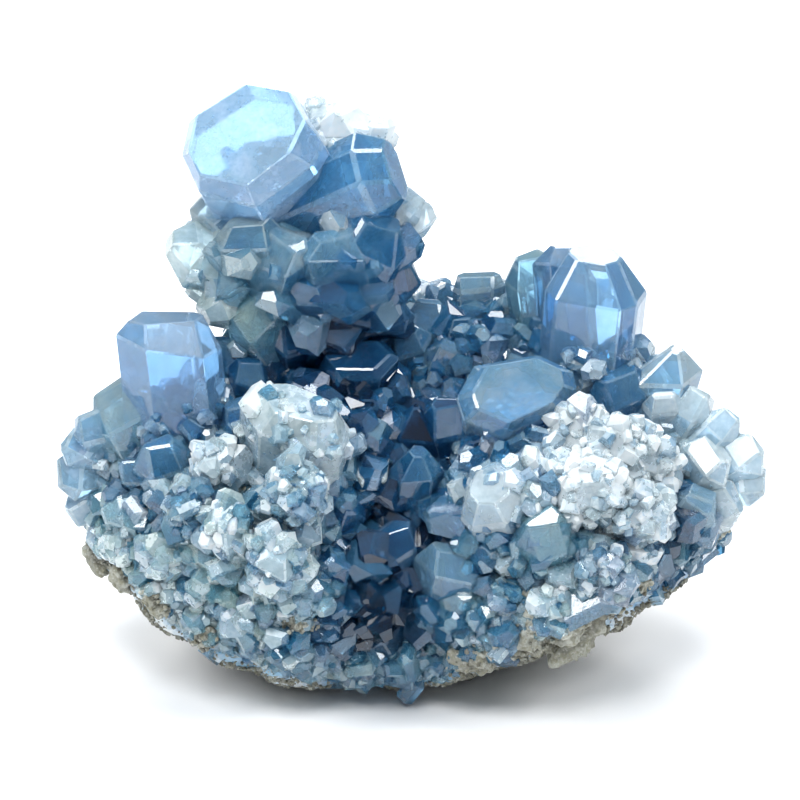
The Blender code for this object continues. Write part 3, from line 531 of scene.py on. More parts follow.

# %% [markdown]
# ## Loose crystals between the named ones
# The solid crust also holds crystals that stand where no named one does. They are drawn at random with the
# same seed as in the solid, so they come out in the same places. How blue or frosty a place is follows from
# its distance to a few named spots of the hollow and the rims. The dark spots deepen the blue and take away
# frost around them. In the hollow and at the tower's foot this is painted shade.

# %% How a place looks
# The dark spots deepen the blue and lessen the frost around them. In the hollow and at the tower's foot this
# is painted shade.
DARK_AND_SHADED_SPOTS = [(-4, 12, -12, 11, 0.75), (-2, 27, -7, 11, 0.42), (-3, 46, 4, 13, 0.33), (-13, 58, 12, 12, 0.8),
              (12, 58, 16, 14, 0.08), (22, 42, -3, 8, 0.3), (42, 24, -8, 9, 0.6), (-37, 45, 2, 8, 0.25),
              (19, 25, -14, 8, 0.1), (-46, 33, -4, 7, 0.25), (-20, 24, -20, 7, 0.2), (27, 24, -20, 6, 0.3)]
FROSTY_SPOTS = [(31, 37, -9, 13, 0.9), (54, 32, -4, 11, 0.4), (-30, 15, -18, 20, 0.22),
                (-52, 26, -2, 15, 0.3), (-22, 38, -9, 9, 0.4), (42, 54, 6, 10, 0.35),
                (-12, 96, 26, 9, 0.6), (20, 12, -20, 10, 0.1)]
GREEN_SPOTS = [(-24, 60, 12, 7, 0.7), (-40, 72, 14, 7, 0.5), (-48, 46, 3, 7, 0.6), (20, 70, 22, 7, 0.5),
               (47, 22, -8, 9, 0.7), (0, 3, -17, 12, 0.6), (-30, 18, -17, 20, 0.7), (-52, 24, -2, 14, 0.6),
               (24, 10, -20, 14, 0.6), (34, 22, -17, 12, 0.4)]


def spot_sum(points, spots):
    """For each point, the sum over spots of amount x exp(-(distance / radius) squared)."""
    total = np.zeros(len(points))
    for across, rise, depth, radius, amount in spots:
        away = np.linalg.norm(points - seen(across, rise, depth), axis=1) / radius
        total += amount * np.exp(-away ** 2)
    return total


def looks_at(points):
    """Blue, frost and green of the crystals that grow at each point, the blue holding painted shade."""
    blue = 0.35 + spot_sum(points, DARK_AND_SHADED_SPOTS) - 0.25 * spot_sum(points, FROSTY_SPOTS)
    frost = 0.16 + spot_sum(points, FROSTY_SPOTS) - 0.5 * spot_sum(points, DARK_AND_SHADED_SPOTS)
    green = 0.1 + spot_sum(points, GREEN_SPOTS)
    return np.clip(np.stack((blue, frost, green), axis=1), 0, 1)


# %% Draw the loose crystals
LOOSE_COVER = 0.2
TIP_GAP = 0.62


def scatter_rows(count, seed, taken):
    """Random directions on the lined side, kept where no tip stands nearer than the gap x both sizes."""
    draw = random.Random(seed)
    rows = []
    while len(rows) < count:
        direction = unit(np.array([draw.gauss(0, 1) for _ in range(3)]))
        size = draw.uniform(5.0, 8.5)
        wander = np.array([draw.gauss(0, 0.3) for _ in range(3)])
        if crystal_cover(direction[None])[0] < LOOSE_COVER:
            continue
        axis = unit(direction + 0.5 * OUT_AXIS + wander)
        tip = ROCK_MIDDLE + direction * rock_reach(direction[None])[0] + axis * (SKIN + 0.75 * size)
        if tip @ UP_AXIS < 3 + 0.4 * abs(tip @ RIGHT_AXIS):
            continue
        if any(np.linalg.norm(tip - other) < TIP_GAP * (size + reach) for other, reach in taken):
            continue
        taken.append((tip, size))
        lean = math.degrees(math.atan2(axis @ UP_AXIS, axis @ RIGHT_AXIS))
        turn = math.degrees(math.asin(axis @ OUT_AXIS))
        caps = (draw.uniform(0.4, 0.75), draw.uniform(0.1, 0.4))
        looks = looks_at(tip[None])[0]
        rows.append((f"scatter {len(rows)}", tip @ RIGHT_AXIS, tip @ UP_AXIS, tip[1], size, 0.85 * size,
                     1.7 * size, lean, turn, *caps, 6, *looks))
    return rows


named = LEFT_RIM + HOLLOW + RIGHT_RIM + LIP + TOWER[:1]
taken = [(seen(*row[1:4]), row[4]) for row in named]
SCATTER = scatter_rows(count=34, seed=21, taken=taken)
print("loose crystals:", len(SCATTER))

# %% [markdown]
# ## Bodies of the large crystals
# Each crystal is kept as a small record: its corners and faces for the mesh, and its planes, which tell at
# once whether another point lies inside it. Its faces differ a little in blue, a painted reflection that
# stands for the different inner reflections of real facets. Its worn edges are paler and more frosted:
# partly real wear and partly a painted highlight along the edges. The crystals along the front are
# overgrown: later they get a covering of small crystals, as in the photograph.

# %% Build one large crystal
WEAR = 0.15
# Painted reflection: each face's blue and frost shift by a random amount of about this size, as if it
# mirrored another part of the inside.
FACET_PAINTED_LIGHT = 0.09
# Worn edge faces are drawn paler and frostier: partly real wear, partly a painted highlight along the edges.
EDGE_WEAR_AND_HIGHLIGHT_BLUE = -0.08
EDGE_WEAR_AND_HIGHLIGHT_FROST = 0.14
OVERGROWN = ("left front", "right low", "lip")


class Body:
    """A convex crystal where it stands."""

    def __init__(self, name, row):
        across, rise, depth, width, thickness, length, lean, turn, cap_width, cap_thickness, sides = row[:11]
        draw = random.Random(name)
        normals, offsets = crystal_planes(width, thickness, length, cap_width, cap_thickness, sides, draw)
        axes = crystal_axes(lean, turn) @ roll_axes(draw.uniform(-ROLL, ROLL))
        tip = seen(across, rise, depth)
        worn_normals, worn_offsets = worn_planes(normals, offsets, WEAR, draw)
        corners = corners_behind(worn_normals, worn_offsets)
        self.faces, numbers = faces_on(corners, worn_normals, worn_offsets)
        self.worn = numbers >= len(normals)
        self.facet_painted_light = np.random.default_rng(int(1000 * abs(tip).sum())).normal(0, 1, len(numbers))
        self.corners = corners @ axes.T + tip
        self.along = 1 + corners[:, 2] / length
        self.normals = normals @ axes.T
        self.offsets = offsets + self.normals @ tip
        self.axis = axes[:, 2]
        self.tip = tip
        self.length = length
        self.size = min(width, thickness)
        self.looks = row[11:14]
        self.overgrown = name.startswith(OVERGROWN)

    def depth_of(self, points):
        """How far each point lies inside, below 0 outside: the least distance behind its planes."""
        return (self.offsets - points @ self.normals.T).min(axis=1)

    def arrays(self):
        """Corners, corner numbers, face sizes and growth values for a mesh."""
        blue, frost, green = self.looks
        loops = np.concatenate(self.faces)
        sizes = np.array([len(face) for face in self.faces])
        # Painted light: each face gets a random painted reflection, and worn edge faces are paler, partly
        # real wear and partly painted highlight.
        facet_painted_light = np.repeat(np.where(self.worn, EDGE_WEAR_AND_HIGHLIGHT_BLUE, FACET_PAINTED_LIGHT * self.facet_painted_light), sizes)
        rime_and_highlight = np.repeat(np.where(self.worn, EDGE_WEAR_AND_HIGHLIGHT_FROST * np.abs(self.facet_painted_light), 0.0), sizes)
        growth = growth_values(blue + facet_painted_light, frost + rime_and_highlight, 0.5 + 0.5 * green, self.along[loops])
        return self.corners, loops, sizes, growth


def join(parts):
    """Arrays of several bodies as one, each body's corner numbers raised by the corners before it."""
    starts = np.cumsum([0] + [len(part[0]) for part in parts[:-1]])
    return (np.vstack([part[0] for part in parts]),
            np.concatenate([part[1] + start for part, start in zip(parts, starts)]),
            np.concatenate([part[2] for part in parts]),
            np.vstack([part[3] for part in parts]))


def grow(prefix, rows):
    """The bodies of a list of rows."""
    return [Body(f"{prefix} {row[0]}", row[1:]) for row in rows]


tower_bodies = grow("tower", TOWER)
crust_bodies = (grow("left", LEFT_RIM) + grow("hollow", HOLLOW) + grow("right", RIGHT_RIM) + grow("lip", LIP)
                + grow("loose", SCATTER))
tower_crystals = make_piece("tower_crystals", *join([body.arrays() for body in tower_bodies]))
crust_crystals = make_piece("crust_crystals", *join([body.arrays() for body in crust_bodies]))

# %% [markdown]
# ## Rock and crystal bed
# The rock is the same star shape on a fine globe grid, with rough relief from several sizes of smoothed
# lattice noise. Its underside stays flat where it rests. The bed is the mass of grown-together crystal
# roots that covers the rock on its open side. Almost all of it hides behind the druse, the coat of small
# crystals, and it is drawn a deeper blue than they are, as painted shade in the gaps between them. Toward
# the line where the whole piece ends below, the bed turns paler, so that line is given first.

# %% Lattice noise
def lattice_noise(points, size, seed):
    """Values from -1 to 1 hashed at the corners of cubes of this size, blended smoothly in between."""
    scaled = points / size
    cell = np.floor(scaled).astype(np.int64)
    part = scaled - cell
    part = part * part * (3 - 2 * part)
    total = np.zeros(len(points))
    for shift in itertools.product((0, 1), repeat=3):
        corner = cell + shift
        mixed = corner[:, 0] * 73856093 ^ corner[:, 1] * 19349663 ^ corner[:, 2] * 83492791 ^ seed * 40503
        mixed = (mixed & 0xFFFFFF) * 2654435761 & 0xFFFFFFFF
        mixed = (mixed ^ (mixed >> 15)) * 2246822519 & 0xFFFFFFFF
        value = (mixed ^ (mixed >> 13)) / 2 ** 32
        weight = np.prod(np.where(shift, part, 1 - part), axis=1)
        total += weight * value
    return 2 * total - 1


def rough(points, sizes, amounts, seed):
    """Sum of lattice noises of several sizes, each with its amount."""
    return sum(amount * lattice_noise(points, size, seed + step)
               for step, (size, amount) in enumerate(zip(sizes, amounts)))


# %% The lower edge of the piece
LOWER_EDGE = [(-60, 30), (-55, 20), (-49, 16.5), (-42, 9.5), (-36, 4), (-27, 1), (-12, -2.5), (5, -1.5),
              (22, 4), (38, 11.5), (54, 19.5), (60, 32)]


def above_edge(points):
    """How far each point is seen above the lower edge of the whole piece."""
    return points @ UP_AXIS - np.interp(points[:, 0], *zip(*LOWER_EDGE))


# %% The rock and the bed
ROCK_GRID = (420, 220)
BED_GRID = (340, 180)


def make_rock():
    """The stone surface, moved along its directions by rough relief, and flat at the floor."""
    directions, loops, sizes = ball_grid(*ROCK_GRID)
    points = stone_surface(directions)
    bare = np.clip(0.5 - 5 * crystal_cover(directions), 0, 1)
    relief = rough(points, (7, 3.4, 1.7, 0.9), (0.9, 0.55, 0.35, 0.2), 31)
    knobs = np.abs(lattice_noise(points, 4.5, 77))
    relief = (0.25 + 0.75 * bare) * relief - bare * (0.5 * knobs + 0.25)
    points = points + directions * relief[:, None]
    points[:, 2] = np.maximum(points[:, 2], 0.0)
    points = within_box(points, 0.0)
    # The second growth number is the relief, which the finish turns into painted shade in the rock's pits.
    growth = growth_values(bare, np.clip(0.5 + relief, 0, 1), looks_at(points)[:, 0], 0.0)
    return make_piece("rock", points, loops, sizes, growth, smooth=True)


def make_bed():
    """The crystal bed, broken into small facets by lattice noise of two sizes."""
    directions, loops, sizes = ball_grid(*BED_GRID)
    points = bed_surface(directions)
    relief = rough(points, (2.2, 1.1), (0.45, 0.3), 57)
    points = points + directions * (lined_part(directions) * relief)[:, None]
    points = within_box(points, 0.3)
    edge = np.clip(np.maximum(1 - crystal_cover(directions) / 0.15, 0.7 - 0.3 * above_edge(points)), 0, 1)
    blue, frost, green = looks_at(points).T
    green = 0.5 + 0.5 * (green + 0.4 * edge)
    # Painted shade: the bed is 0.12 bluer than the crystals above it, less so toward the lower edge, so the
    # gaps between the druse look shaded.
    growth = growth_values(blue + (0.12 - 0.1 * edge), frost + 0.6 * edge, green, 0.3)
    return make_piece("crystal_bed", points, loops, sizes, growth)


rock = make_rock()
crystal_bed = make_bed()

# %% [markdown]
# ## Where sandy rock shows
# Along the lower edge the picture shows khaki, sandy rock that comes through between the crystals. Each
# patch is given as it is seen, across, up and its radius, and its place on the bed is found by looking
# along the view. No druse grows there.

# %% Places of the sandy rock
PATCHES = [(23.5, 12, 6.0), (28.5, 13.8, 6.2), (33, 16.5, 5.0), (19.5, 8.8, 4.6), (11, 5, 3.8),
           (15, 6.8, 4.2), (26, 8.5, 4.8), (37, 18, 3.6), (50.5, 26.5, 3.2), (-51.5, 21.5, 3.4),
           (-47.5, 17.5, 2.8), (-42, 13.5, 2.4), (-31, 30.5, 3.0), (-27, 35.5, 2.4), (-18.5, 10.5, 2.4),
           (-34, 8, 2.2)]


def under_bed(points):
    """How far each point lies below the crystal bed."""
    offsets = points - ROCK_MIDDLE
    reach = np.linalg.norm(bed_surface(unit(offsets)) - ROCK_MIDDLE, axis=1)
    return reach - np.linalg.norm(offsets, axis=1)


def bed_place(across, rise):
    """The first point below the bed, stepping along the view from the front in tenths of a millimetre."""
    depths = np.arange(-45.0, 45.0, 0.1)
    points = np.array([seen(across, rise, depth) for depth in depths])
    return points[(under_bed(points) > 0).argmax()]


patch_places = [(bed_place(across, rise), radius) for across, rise, radius in PATCHES]
print("patches of sandy rock:", len(patch_places))

# %% [markdown]
# ## The druse
# Between and on the large crystals grow thousands of small ones, the druse. A particle system could scatter
# them, but arrays keep every crystal's place and its growth numbers in the mesh. A few dozen small shapes
# are enough, because each one is turned and sized differently. They are set down as whole arrays: shape
# times size, turned by three axes, moved to its place.

# %% Small crystal shapes
def small_shape(seed):
    """A crystal of unit width with four to six walls and its tip at the origin."""
    draw = random.Random(seed)
    sides = draw.choice((4, 5, 6))
    length = draw.uniform(1.3, 1.9)
    normals, offsets = crystal_planes(1.0, draw.uniform(0.65, 0.95), length, draw.uniform(0.3, 0.8),
                                      draw.uniform(0.1, 0.6), sides, draw)
    corners = corners_behind(normals, offsets)
    faces, _ = faces_on(corners, normals, offsets)
    return corners, np.concatenate(faces), np.array([len(face) for face in faces]), length


SMALL_SHAPES = [small_shape(f"small {number}") for number in range(40)]


def strew(tips, directions, sizes, looks, seed, shapes=SMALL_SHAPES):
    """Corner = tip + size x (the shape's corner, turned by a random roll and the crystal's direction)."""
    rng = np.random.default_rng(seed)
    roll = rng.uniform(0, 2 * math.pi, len(tips))
    first, second = two_across(directions)
    side = np.cos(roll)[:, None] * first + np.sin(roll)[:, None] * second
    axes = np.stack((side, np.cross(directions, side), directions), axis=2) * sizes[:, None, None]
    pick = rng.integers(len(shapes), size=len(tips))
    parts = []
    for number, (corners, loops, face_sizes, length) in enumerate(shapes):
        chosen = np.flatnonzero(pick == number)
        if not len(chosen):
            continue
        placed = np.einsum("kij,vj->kvi", axes[chosen], corners) + tips[chosen][:, None]
        placed = within_box(placed, 0.05)
        starts = np.arange(len(chosen))[:, None] * len(corners)
        # Painted reflection: a random shift of blue and frost on each face of each small crystal.
        facet_painted_light = np.repeat(rng.normal(0, FACET_PAINTED_LIGHT, (len(chosen), len(face_sizes))), face_sizes, axis=1)
        blue, frost, green = np.moveaxis(looks[chosen][:, None], -1, 0)
        growth = growth_values(blue + facet_painted_light, frost - facet_painted_light, 0.5 + 0.5 * green, 1 + corners[loops, 2] / length)
        parts.append((placed.reshape(-1, 3), (loops + starts).ravel(), np.tile(face_sizes, len(chosen)),
                      growth.reshape(-1, 4)))
    return join(parts)


# %% Places for the druse
LINED_FROM = -0.03
FAR_REACH = 58.0


def spread(points, radii):
    """Numbers of the points that stand no nearer to an earlier kept one than the mean of their radii."""
    cell = radii.max()
    places = np.floor(points / cell).astype(int)
    shifts = list(itertools.product((-1, 0, 1), repeat=3))
    cells = {}
    kept = []
    for number, (x, y, z) in enumerate(places.tolist()):
        near = [other for a, b, c in shifts for other in cells.get((x + a, y + b, z + c), ())]
        if near:
            away = np.linalg.norm(points[near] - points[number], axis=1)
            if (away < (radii[near] + radii[number]) / 2).any():
                continue
        cells.setdefault((x, y, z), []).append(number)
        kept.append(number)
    return np.array(kept)


def deepest(points, bodies):
    """How far each point lies inside the crystal that holds it deepest, below 0 outside all."""
    return np.max([body.depth_of(points) for body in bodies], axis=0)


def bed_spots(count, seed):
    """Random places on the lined bed, as dense on a far surface as on a near one, and their normals."""
    rng = np.random.default_rng(seed)
    directions = unit(rng.normal(size=(count * 8, 3)))
    directions = directions[crystal_cover(directions) > LINED_FROM]
    points = bed_surface(directions)
    reach = np.linalg.norm(points - ROCK_MIDDLE, axis=1)
    kept = rng.random(len(points)) < (reach / FAR_REACH) ** 2
    directions = directions[kept][:count]
    return points[kept][:count], surface_normals(directions, bed_surface)


def body_spots(body, count, rng):
    """Random places on a crystal's faces, each face drawn by its area, with normals and growth heights."""
    triangles = np.vstack([np.stack((np.full(len(f) - 2, f[0]), f[1:-1], f[2:]), axis=1) for f in body.faces])
    a, b, c = (body.corners[triangles[:, k]] for k in range(3))
    normal = np.cross(b - a, c - a)
    area = np.linalg.norm(normal, axis=1)
    pick = rng.choice(len(triangles), count, p=area / area.sum())
    u, v = rng.random((2, count))
    over = u + v > 1
    u = np.where(over, 1 - u, u)
    v = np.where(over, 1 - v, v)
    points = a[pick] + u[:, None] * (b - a)[pick] + v[:, None] * (c - a)[pick]
    along = 1 + (points - body.tip) @ body.axis / body.length
    return points, unit(normal[pick]), along


# %% [markdown]
# The small crystals are first drawn in plenty, on the bed and on the large crystals. Then those are dropped
# that lie inside others, under the bed, on a sandy patch or past the lower edge, and the rest are thinned
# so that the larger ones keep their room. On the large crystals they grow at the foot, and all over the
# frosty and the overgrown ones. The stem, the top and the block of the tower stay clean, as in the picture.

# %% Grow the druse
def druse_on_bed(count, seed):
    """Tips, directions, sizes and looks. Size = (3.3 mm + more where blue - some frost) x a random part."""
    rng = np.random.default_rng(seed)
    points, normals = bed_spots(count, seed + 1)
    looks = looks_at(points)
    sizes = 3.3 + 2.5 * np.clip(looks[:, 0] - 0.45, 0, 0.5) - 0.9 * looks[:, 1]
    sizes = sizes * rng.lognormal(0, 0.26, len(points))
    directions = unit(normals + 0.3 * OUT_AXIS + rng.normal(0, 0.42, points.shape))
    tips = points + directions * (sizes * rng.uniform(0.35, 0.95, len(points)))[:, None]
    return tips, directions, sizes, looks


def druse_on_bodies(bodies, foot, scale, seed):
    """The same on large crystals: below the foot's height, and all over the frosty and overgrown ones."""
    rng = np.random.default_rng(seed)
    found = []
    for body in bodies:
        points, normals, along = body_spots(body, int(26 * body.size ** 1.5), rng)
        frosted = max(0.0, body.looks[1] - 0.62)
        chance = np.clip(1.6 * (foot - along), 0, 1) + 1.2 * frosted + 0.35 * body.overgrown
        kept = rng.random(len(points)) < chance
        points, normals, along = points[kept], normals[kept], along[kept]
        looks = 0.75 * np.array(body.looks) + 0.25 * looks_at(points)
        sizes = (2.7 - 0.2 * looks[:, 1]) * rng.lognormal(0, 0.28, len(points))
        sizes = sizes * (1.15 - 0.35 * along) * scale
        directions = unit(0.8 * normals + 0.5 * body.axis + rng.normal(0, 0.35, points.shape))
        tips = points + directions * (sizes * rng.uniform(0.25, 0.7, len(points)))[:, None]
        found.append((tips, directions, sizes, looks))
    return tuple(np.concatenate(column) for column in zip(*found))


def settle_druse(columns, bodies, closeness, seed):
    """Drop crystals inside others, below the bed, outside the box, on patches or on each other."""
    rng = np.random.default_rng(seed)
    tips, directions, sizes, looks = columns
    margin = 0.2 * sizes[:, None]
    kept = (deepest(tips, bodies) < 0.1 * sizes) & (under_bed(tips) < 0)
    kept &= ((tips > BOX_LOW + margin) & (tips < BOX_HIGH - margin)).all(axis=1)
    for place, radius in patch_places:
        kept &= np.linalg.norm(tips - place, axis=1) > 1.05 * radius
    kept &= above_edge(tips) > 0.6 * sizes
    order = rng.permutation(np.flatnonzero(kept))
    order = order[np.argsort(-sizes[order] * rng.uniform(0.6, 1, len(order)))]
    order = order[spread(tips[order], closeness * sizes[order])]
    looks = looks[order]
    looks[:, 0] += rng.normal(0, 0.14, len(order))
    looks[:, 1] += rng.normal(0, 0.25, len(order)) * np.clip(0.2 + 2 * looks[:, 1], 0, 1)
    return tips[order], directions[order], sizes[order], np.clip(looks, 0, 1)


CLEAN = 3
DRUSE = [("bed_druse", druse_on_bed(count=16000, seed=101), 0.5),
         ("crystal_druse", druse_on_bodies(crust_bodies, foot=0.42, scale=1.0, seed=103), 0.55),
         ("tower_druse", druse_on_bodies(tower_bodies[CLEAN:], foot=0.8, scale=1.5, seed=105), 1.0)]
druse = {}
for number, (name, found, closeness) in enumerate(DRUSE):
    settled = settle_druse(found, tower_bodies + crust_bodies, closeness, seed=102 + 2 * number)
    print(name, "has", len(settled[0]), "crystals")
    druse[name] = make_piece(name, *strew(*settled, seed=111 + number))

# %% [markdown]
# ## Sandy rock between the crystals
# Each patch of sandy rock is a small flattened lump that is set into the bed and stands out a little. Sharp
# grains lie on the lumps and all along the edge where the crystals end, because the real edge crumbles
# there.

# %% Patches of sandy rock
PATCH_GRID = (72, 40)
PATCH_RISE = 0.22


def sandy_patches():
    """Small flattened balls whose reach follows lattice noise, set into the bed."""
    directions, loops, sizes = ball_grid(*PATCH_GRID)
    parts = []
    for number, (place, radius) in enumerate(patch_places):
        flat = unit(place - ROCK_MIDDLE)
        middle = place + flat * PATCH_RISE * radius
        points = directions * radius * (1.15 - 0.35 * np.abs(directions @ flat))[:, None]
        noise_sizes = (radius * 0.9, radius * 0.4, 1.0, 0.5)
        relief = rough(points + 50 * number, noise_sizes, (0.3, 0.22, 0.14, 0.07), 300)
        points = within_box(middle + points * (1 + relief)[:, None], 0.2)
        # The relief here also becomes painted shade in the patches' low spots.
        parts.append((points, loops, sizes, growth_values(1.0, np.clip(0.5 + 2 * relief, 0, 1), 0.0, 0.0)))
    return parts


# %% Grains of sand
def grain_shape(seed):
    """A twenty-sided grain whose twelve corners are pushed in or out by up to a third."""
    rng = np.random.default_rng(seed)
    golden = (1 + math.sqrt(5)) / 2
    corners = np.array([(0, a, b * golden) for a in (-1, 1) for b in (-1, 1)])
    corners = np.vstack((corners, corners[:, [1, 2, 0]], corners[:, [2, 0, 1]])) / 2
    away = np.linalg.norm(corners[:, None] - corners[None], axis=2)
    faces = np.array([trio for trio in itertools.combinations(range(12), 3)
                      if all(away[one, other] < 1.1 for one, other in itertools.combinations(trio, 2))])
    a, b, c = (corners[faces[:, k]] for k in range(3))
    inward = (np.cross(b - a, c - a) * a).sum(axis=1) < 0
    faces[inward] = faces[inward][:, ::-1]
    corners = corners * rng.uniform(0.7, 1.25, (12, 1)) * rng.uniform(0.6, 1.0, 3) / 1.9
    return corners, faces.ravel(), np.full(20, 3), 1.0


GRAIN_SHAPES = [grain_shape(number) for number in range(12)]


def grains_around(patches, count, edge_count, seed):
    """Grains on the patches' surfaces, and on the bed all along its edge where the rock begins."""
    rng = np.random.default_rng(seed)
    surface = np.vstack([part[0] for part in patches])
    points = surface[rng.integers(len(surface), size=count)] + rng.normal(0, 0.4, (count, 3))
    points = points[(under_bed(points) < 0.4) & (above_edge(points) > 0.8)]
    directions = unit(rng.normal(size=(edge_count * 20, 3)))
    cover = crystal_cover(directions)
    at_edge = cover < 0.13 * rng.random(len(cover)) ** 0.5
    low_front = above_edge(bed_surface(directions)) < 2.5 * rng.random(len(cover)) ** 2
    at_edge |= low_front & (directions[:, 1] < 0)
    directions = directions[(cover > LINED_FROM) & at_edge][:edge_count]
    points = np.vstack((points, bed_surface(directions) + 0.1 * directions))
    sizes = rng.uniform(0.35, 1.3, len(points))
    looks = np.stack((np.ones(len(points)), rng.random(len(points)), np.zeros(len(points))), axis=1)
    directions = unit(rng.normal(size=points.shape))
    return strew(points, directions, sizes, looks, seed + 1, GRAIN_SHAPES)


patches = sandy_patches()
sandy_piece = make_piece("sandy_patches", *join(patches), smooth=True)
grains = grains_around(patches, count=4800, edge_count=3800, seed=205)
grains_piece = make_piece("sand_grains", *grains)

# %% [markdown]
# ## Finishes
# A material is a small net of nodes. It could be built by hand in the shader editor, but a recipe in code
# can be read and changed in one place. These helpers add a node, set its values and join its sockets.

# %% Node helpers
class Finish:
    """A material whose nodes are added by short calls."""

    def __init__(self, name):
        self.material = bpy.data.materials.new(name)
        self.material.use_nodes = True
        self.tree = self.material.node_tree
        self.tree.nodes.clear()
        self.output = self.tree.nodes.new("ShaderNodeOutputMaterial")
        self.shader = self.add("ShaderNodeBsdfPrincipled")
        self.join(self.shader.outputs["BSDF"], self.output.inputs["Surface"])
        self.place = self.add("ShaderNodeTexCoord").outputs["Object"]

    def add(self, kind, inputs=None, **properties):
        """A node with these properties, and its named or numbered inputs joined or set."""
        node = self.tree.nodes.new(kind)
        for key, value in properties.items():
            setattr(node, key, value)
        for key, source in (inputs or {}).items():
            self.join(source, node.inputs[key])
        return node

    def join(self, source, target):
        """Link an output to an input, or set the input's value."""
        if isinstance(source, (int, float, tuple)):
            target.default_value = source
        else:
            self.tree.links.new(source, target)

    def noise(self, scale, detail=3.0, rough=0.55, distortion=0.0):
        """Noise of this many features per metre."""
        inputs = {"Vector": self.place, "Scale": scale, "Detail": detail, "Roughness": rough,
                  "Distortion": distortion}
        return self.add("ShaderNodeTexNoise", inputs).outputs["Fac"]

    def cells(self, scale):
        """Distance pattern of random cells, this many per metre."""
        return self.add("ShaderNodeTexVoronoi", {"Vector": self.place, "Scale": scale}).outputs["Distance"]

    def math(self, operation, one, other, clamp=False):
        """One sum on two values."""
        return self.add("ShaderNodeMath", {0: one, 1: other}, operation=operation, use_clamp=clamp).outputs[0]

    def span(self, value, low, high, to_low, to_high):
        """A value moved from one range to another, held at its ends."""
        inputs = dict(enumerate((value, low, high, to_low, to_high)))
        return self.add("ShaderNodeMapRange", inputs).outputs[0]

    def ramp(self, value, stops):
        """Colours blended along a value: pairs of place and colour, the two end ones first."""
        node = self.add("ShaderNodeValToRGB", {"Fac": value})
        ramp = node.color_ramp
        for number, (place, colour) in enumerate(stops):
            stop = ramp.elements[number] if number < 2 else ramp.elements.new(place)
            stop.position = place
            stop.color = (*colour, 1.0)
        return node.outputs["Color"]

    def mix(self, amount, one, other, blend="MIX"):
        """Two colours mixed by an amount."""
        inputs = {"Factor": amount, "A": one, "B": other}
        return self.add("ShaderNodeMix", inputs, data_type="RGBA", blend_type=blend).outputs["Result"]

    def bump(self, height, distance, strength=1.0):
        """Raise the surface's shading by a height pattern, over a distance in millimetres."""
        inputs = {"Height": height, "Distance": distance * MM, "Strength": strength}
        node = self.add("ShaderNodeBump", inputs)
        self.join(node.outputs["Normal"], self.shader.inputs["Normal"])

    def growth(self):
        """Blue, frost, green and height of the crystal at this place."""
        node = self.add("ShaderNodeAttribute", attribute_type="GEOMETRY", attribute_name="growth")
        parts = self.add("ShaderNodeSeparateColor", {"Color": node.outputs["Color"]})
        return (*parts.outputs[:3], node.outputs["Alpha"])

    def wear(self, **sockets):
        """Join or set the shader's sockets, named with _ for a space."""
        for key, source in sockets.items():
            self.join(source, self.shader.inputs[key.replace("_", " ")])


# %% [markdown]
# ## Crystal
# Celestite is clear, with an index of 1.62, and takes its blue from what light loses on the way through it.
# The faces are glossy. White veils and frosted skins make it milky in places, most at the rims. So each
# crystal is mostly see-through, with a colour that runs from ice blue to navy by its blue number, which also
# holds painted shade in the hollow. Painted shade also darkens it toward its root. The frosty parts lose
# their clearness and gloss together.

# %% Crystal finish
BLUE_STEPS = [(0.0, (0.74, 0.90, 0.98)), (1.0, (0.006, 0.034, 0.10)), (0.25, (0.26, 0.57, 0.83)),
              (0.5, (0.06, 0.31, 0.63)), (0.75, (0.024, 0.15, 0.37))]
TINTS = [(0.0, (0.84, 0.82, 1.0)), (1.0, (0.84, 1.0, 0.84)), (0.5, (0.95, 0.99, 1.0))]
FROST_WHITE = (0.91, 0.955, 0.965, 1.0)
WATER_BLUE = (0.40, 0.70, 0.96, 1.0)
CELESTITE_IOR = 1.62


def crystal_finish(name, clearness, frostiness, grain, absorption):
    """A see-through blue finish: how clear it is, how much frost shows, how fine its grain is."""
    finish = Finish(name)
    blue, frost, green, along = finish.growth()
    veil = finish.noise(210, 3, 0.65)
    fine = finish.noise(1100 * grain, 2, 0.6)
    depth = finish.math("ADD", blue, finish.span(veil, 0.3, 0.7, -0.12, 0.12))
    # Painted shade: each crystal is drawn a little deeper blue toward its root and paler toward its tip.
    depth = finish.math("ADD", depth, finish.span(along, 0.2, 1.0, 0.08, -0.06), clamp=True)
    colour = finish.ramp(depth, BLUE_STEPS)
    colour = finish.mix(1.0, colour, finish.ramp(green, TINTS), "MULTIPLY")
    sheet = finish.span(veil, 0.36, 0.64, 0.35, 1.15)
    cover = finish.math("ADD", sheet, finish.span(fine, 0.3, 0.7, -0.16, 0.16))
    white = finish.math("MULTIPLY", finish.span(frost, 0.07, 0.85, 0.0, 1.0), cover)
    white = finish.math("MULTIPLY", white, frostiness, clamp=True)
    colour = finish.mix(white, colour, FROST_WHITE)
    finish.wear(Base_Color=colour, Metallic=0.0, IOR=CELESTITE_IOR,
                Roughness=finish.span(white, 0.05, 0.8, 0.015, 0.42),
                Transmission_Weight=finish.span(white, 0.0, 1.0, clearness, 0.35))
    finish.bump(finish.math("MULTIPLY", fine, finish.span(frost, 0.1, 0.8, 0.1, 1.0)), 0.018)
    if absorption:
        water = finish.add("ShaderNodeVolumeAbsorption", {"Color": WATER_BLUE, "Density": absorption})
        finish.join(water.outputs["Volume"], finish.output.inputs["Volume"])
    return finish.material


# %% [markdown]
# ## Rock
# The geode's wall is dull and rough: grey-beige with khaki sand and a few rusty stains, and painted shade
# darkens its pits. Where crystals line it, it takes their blue, so that it doesn't show as brown through
# gaps between them.

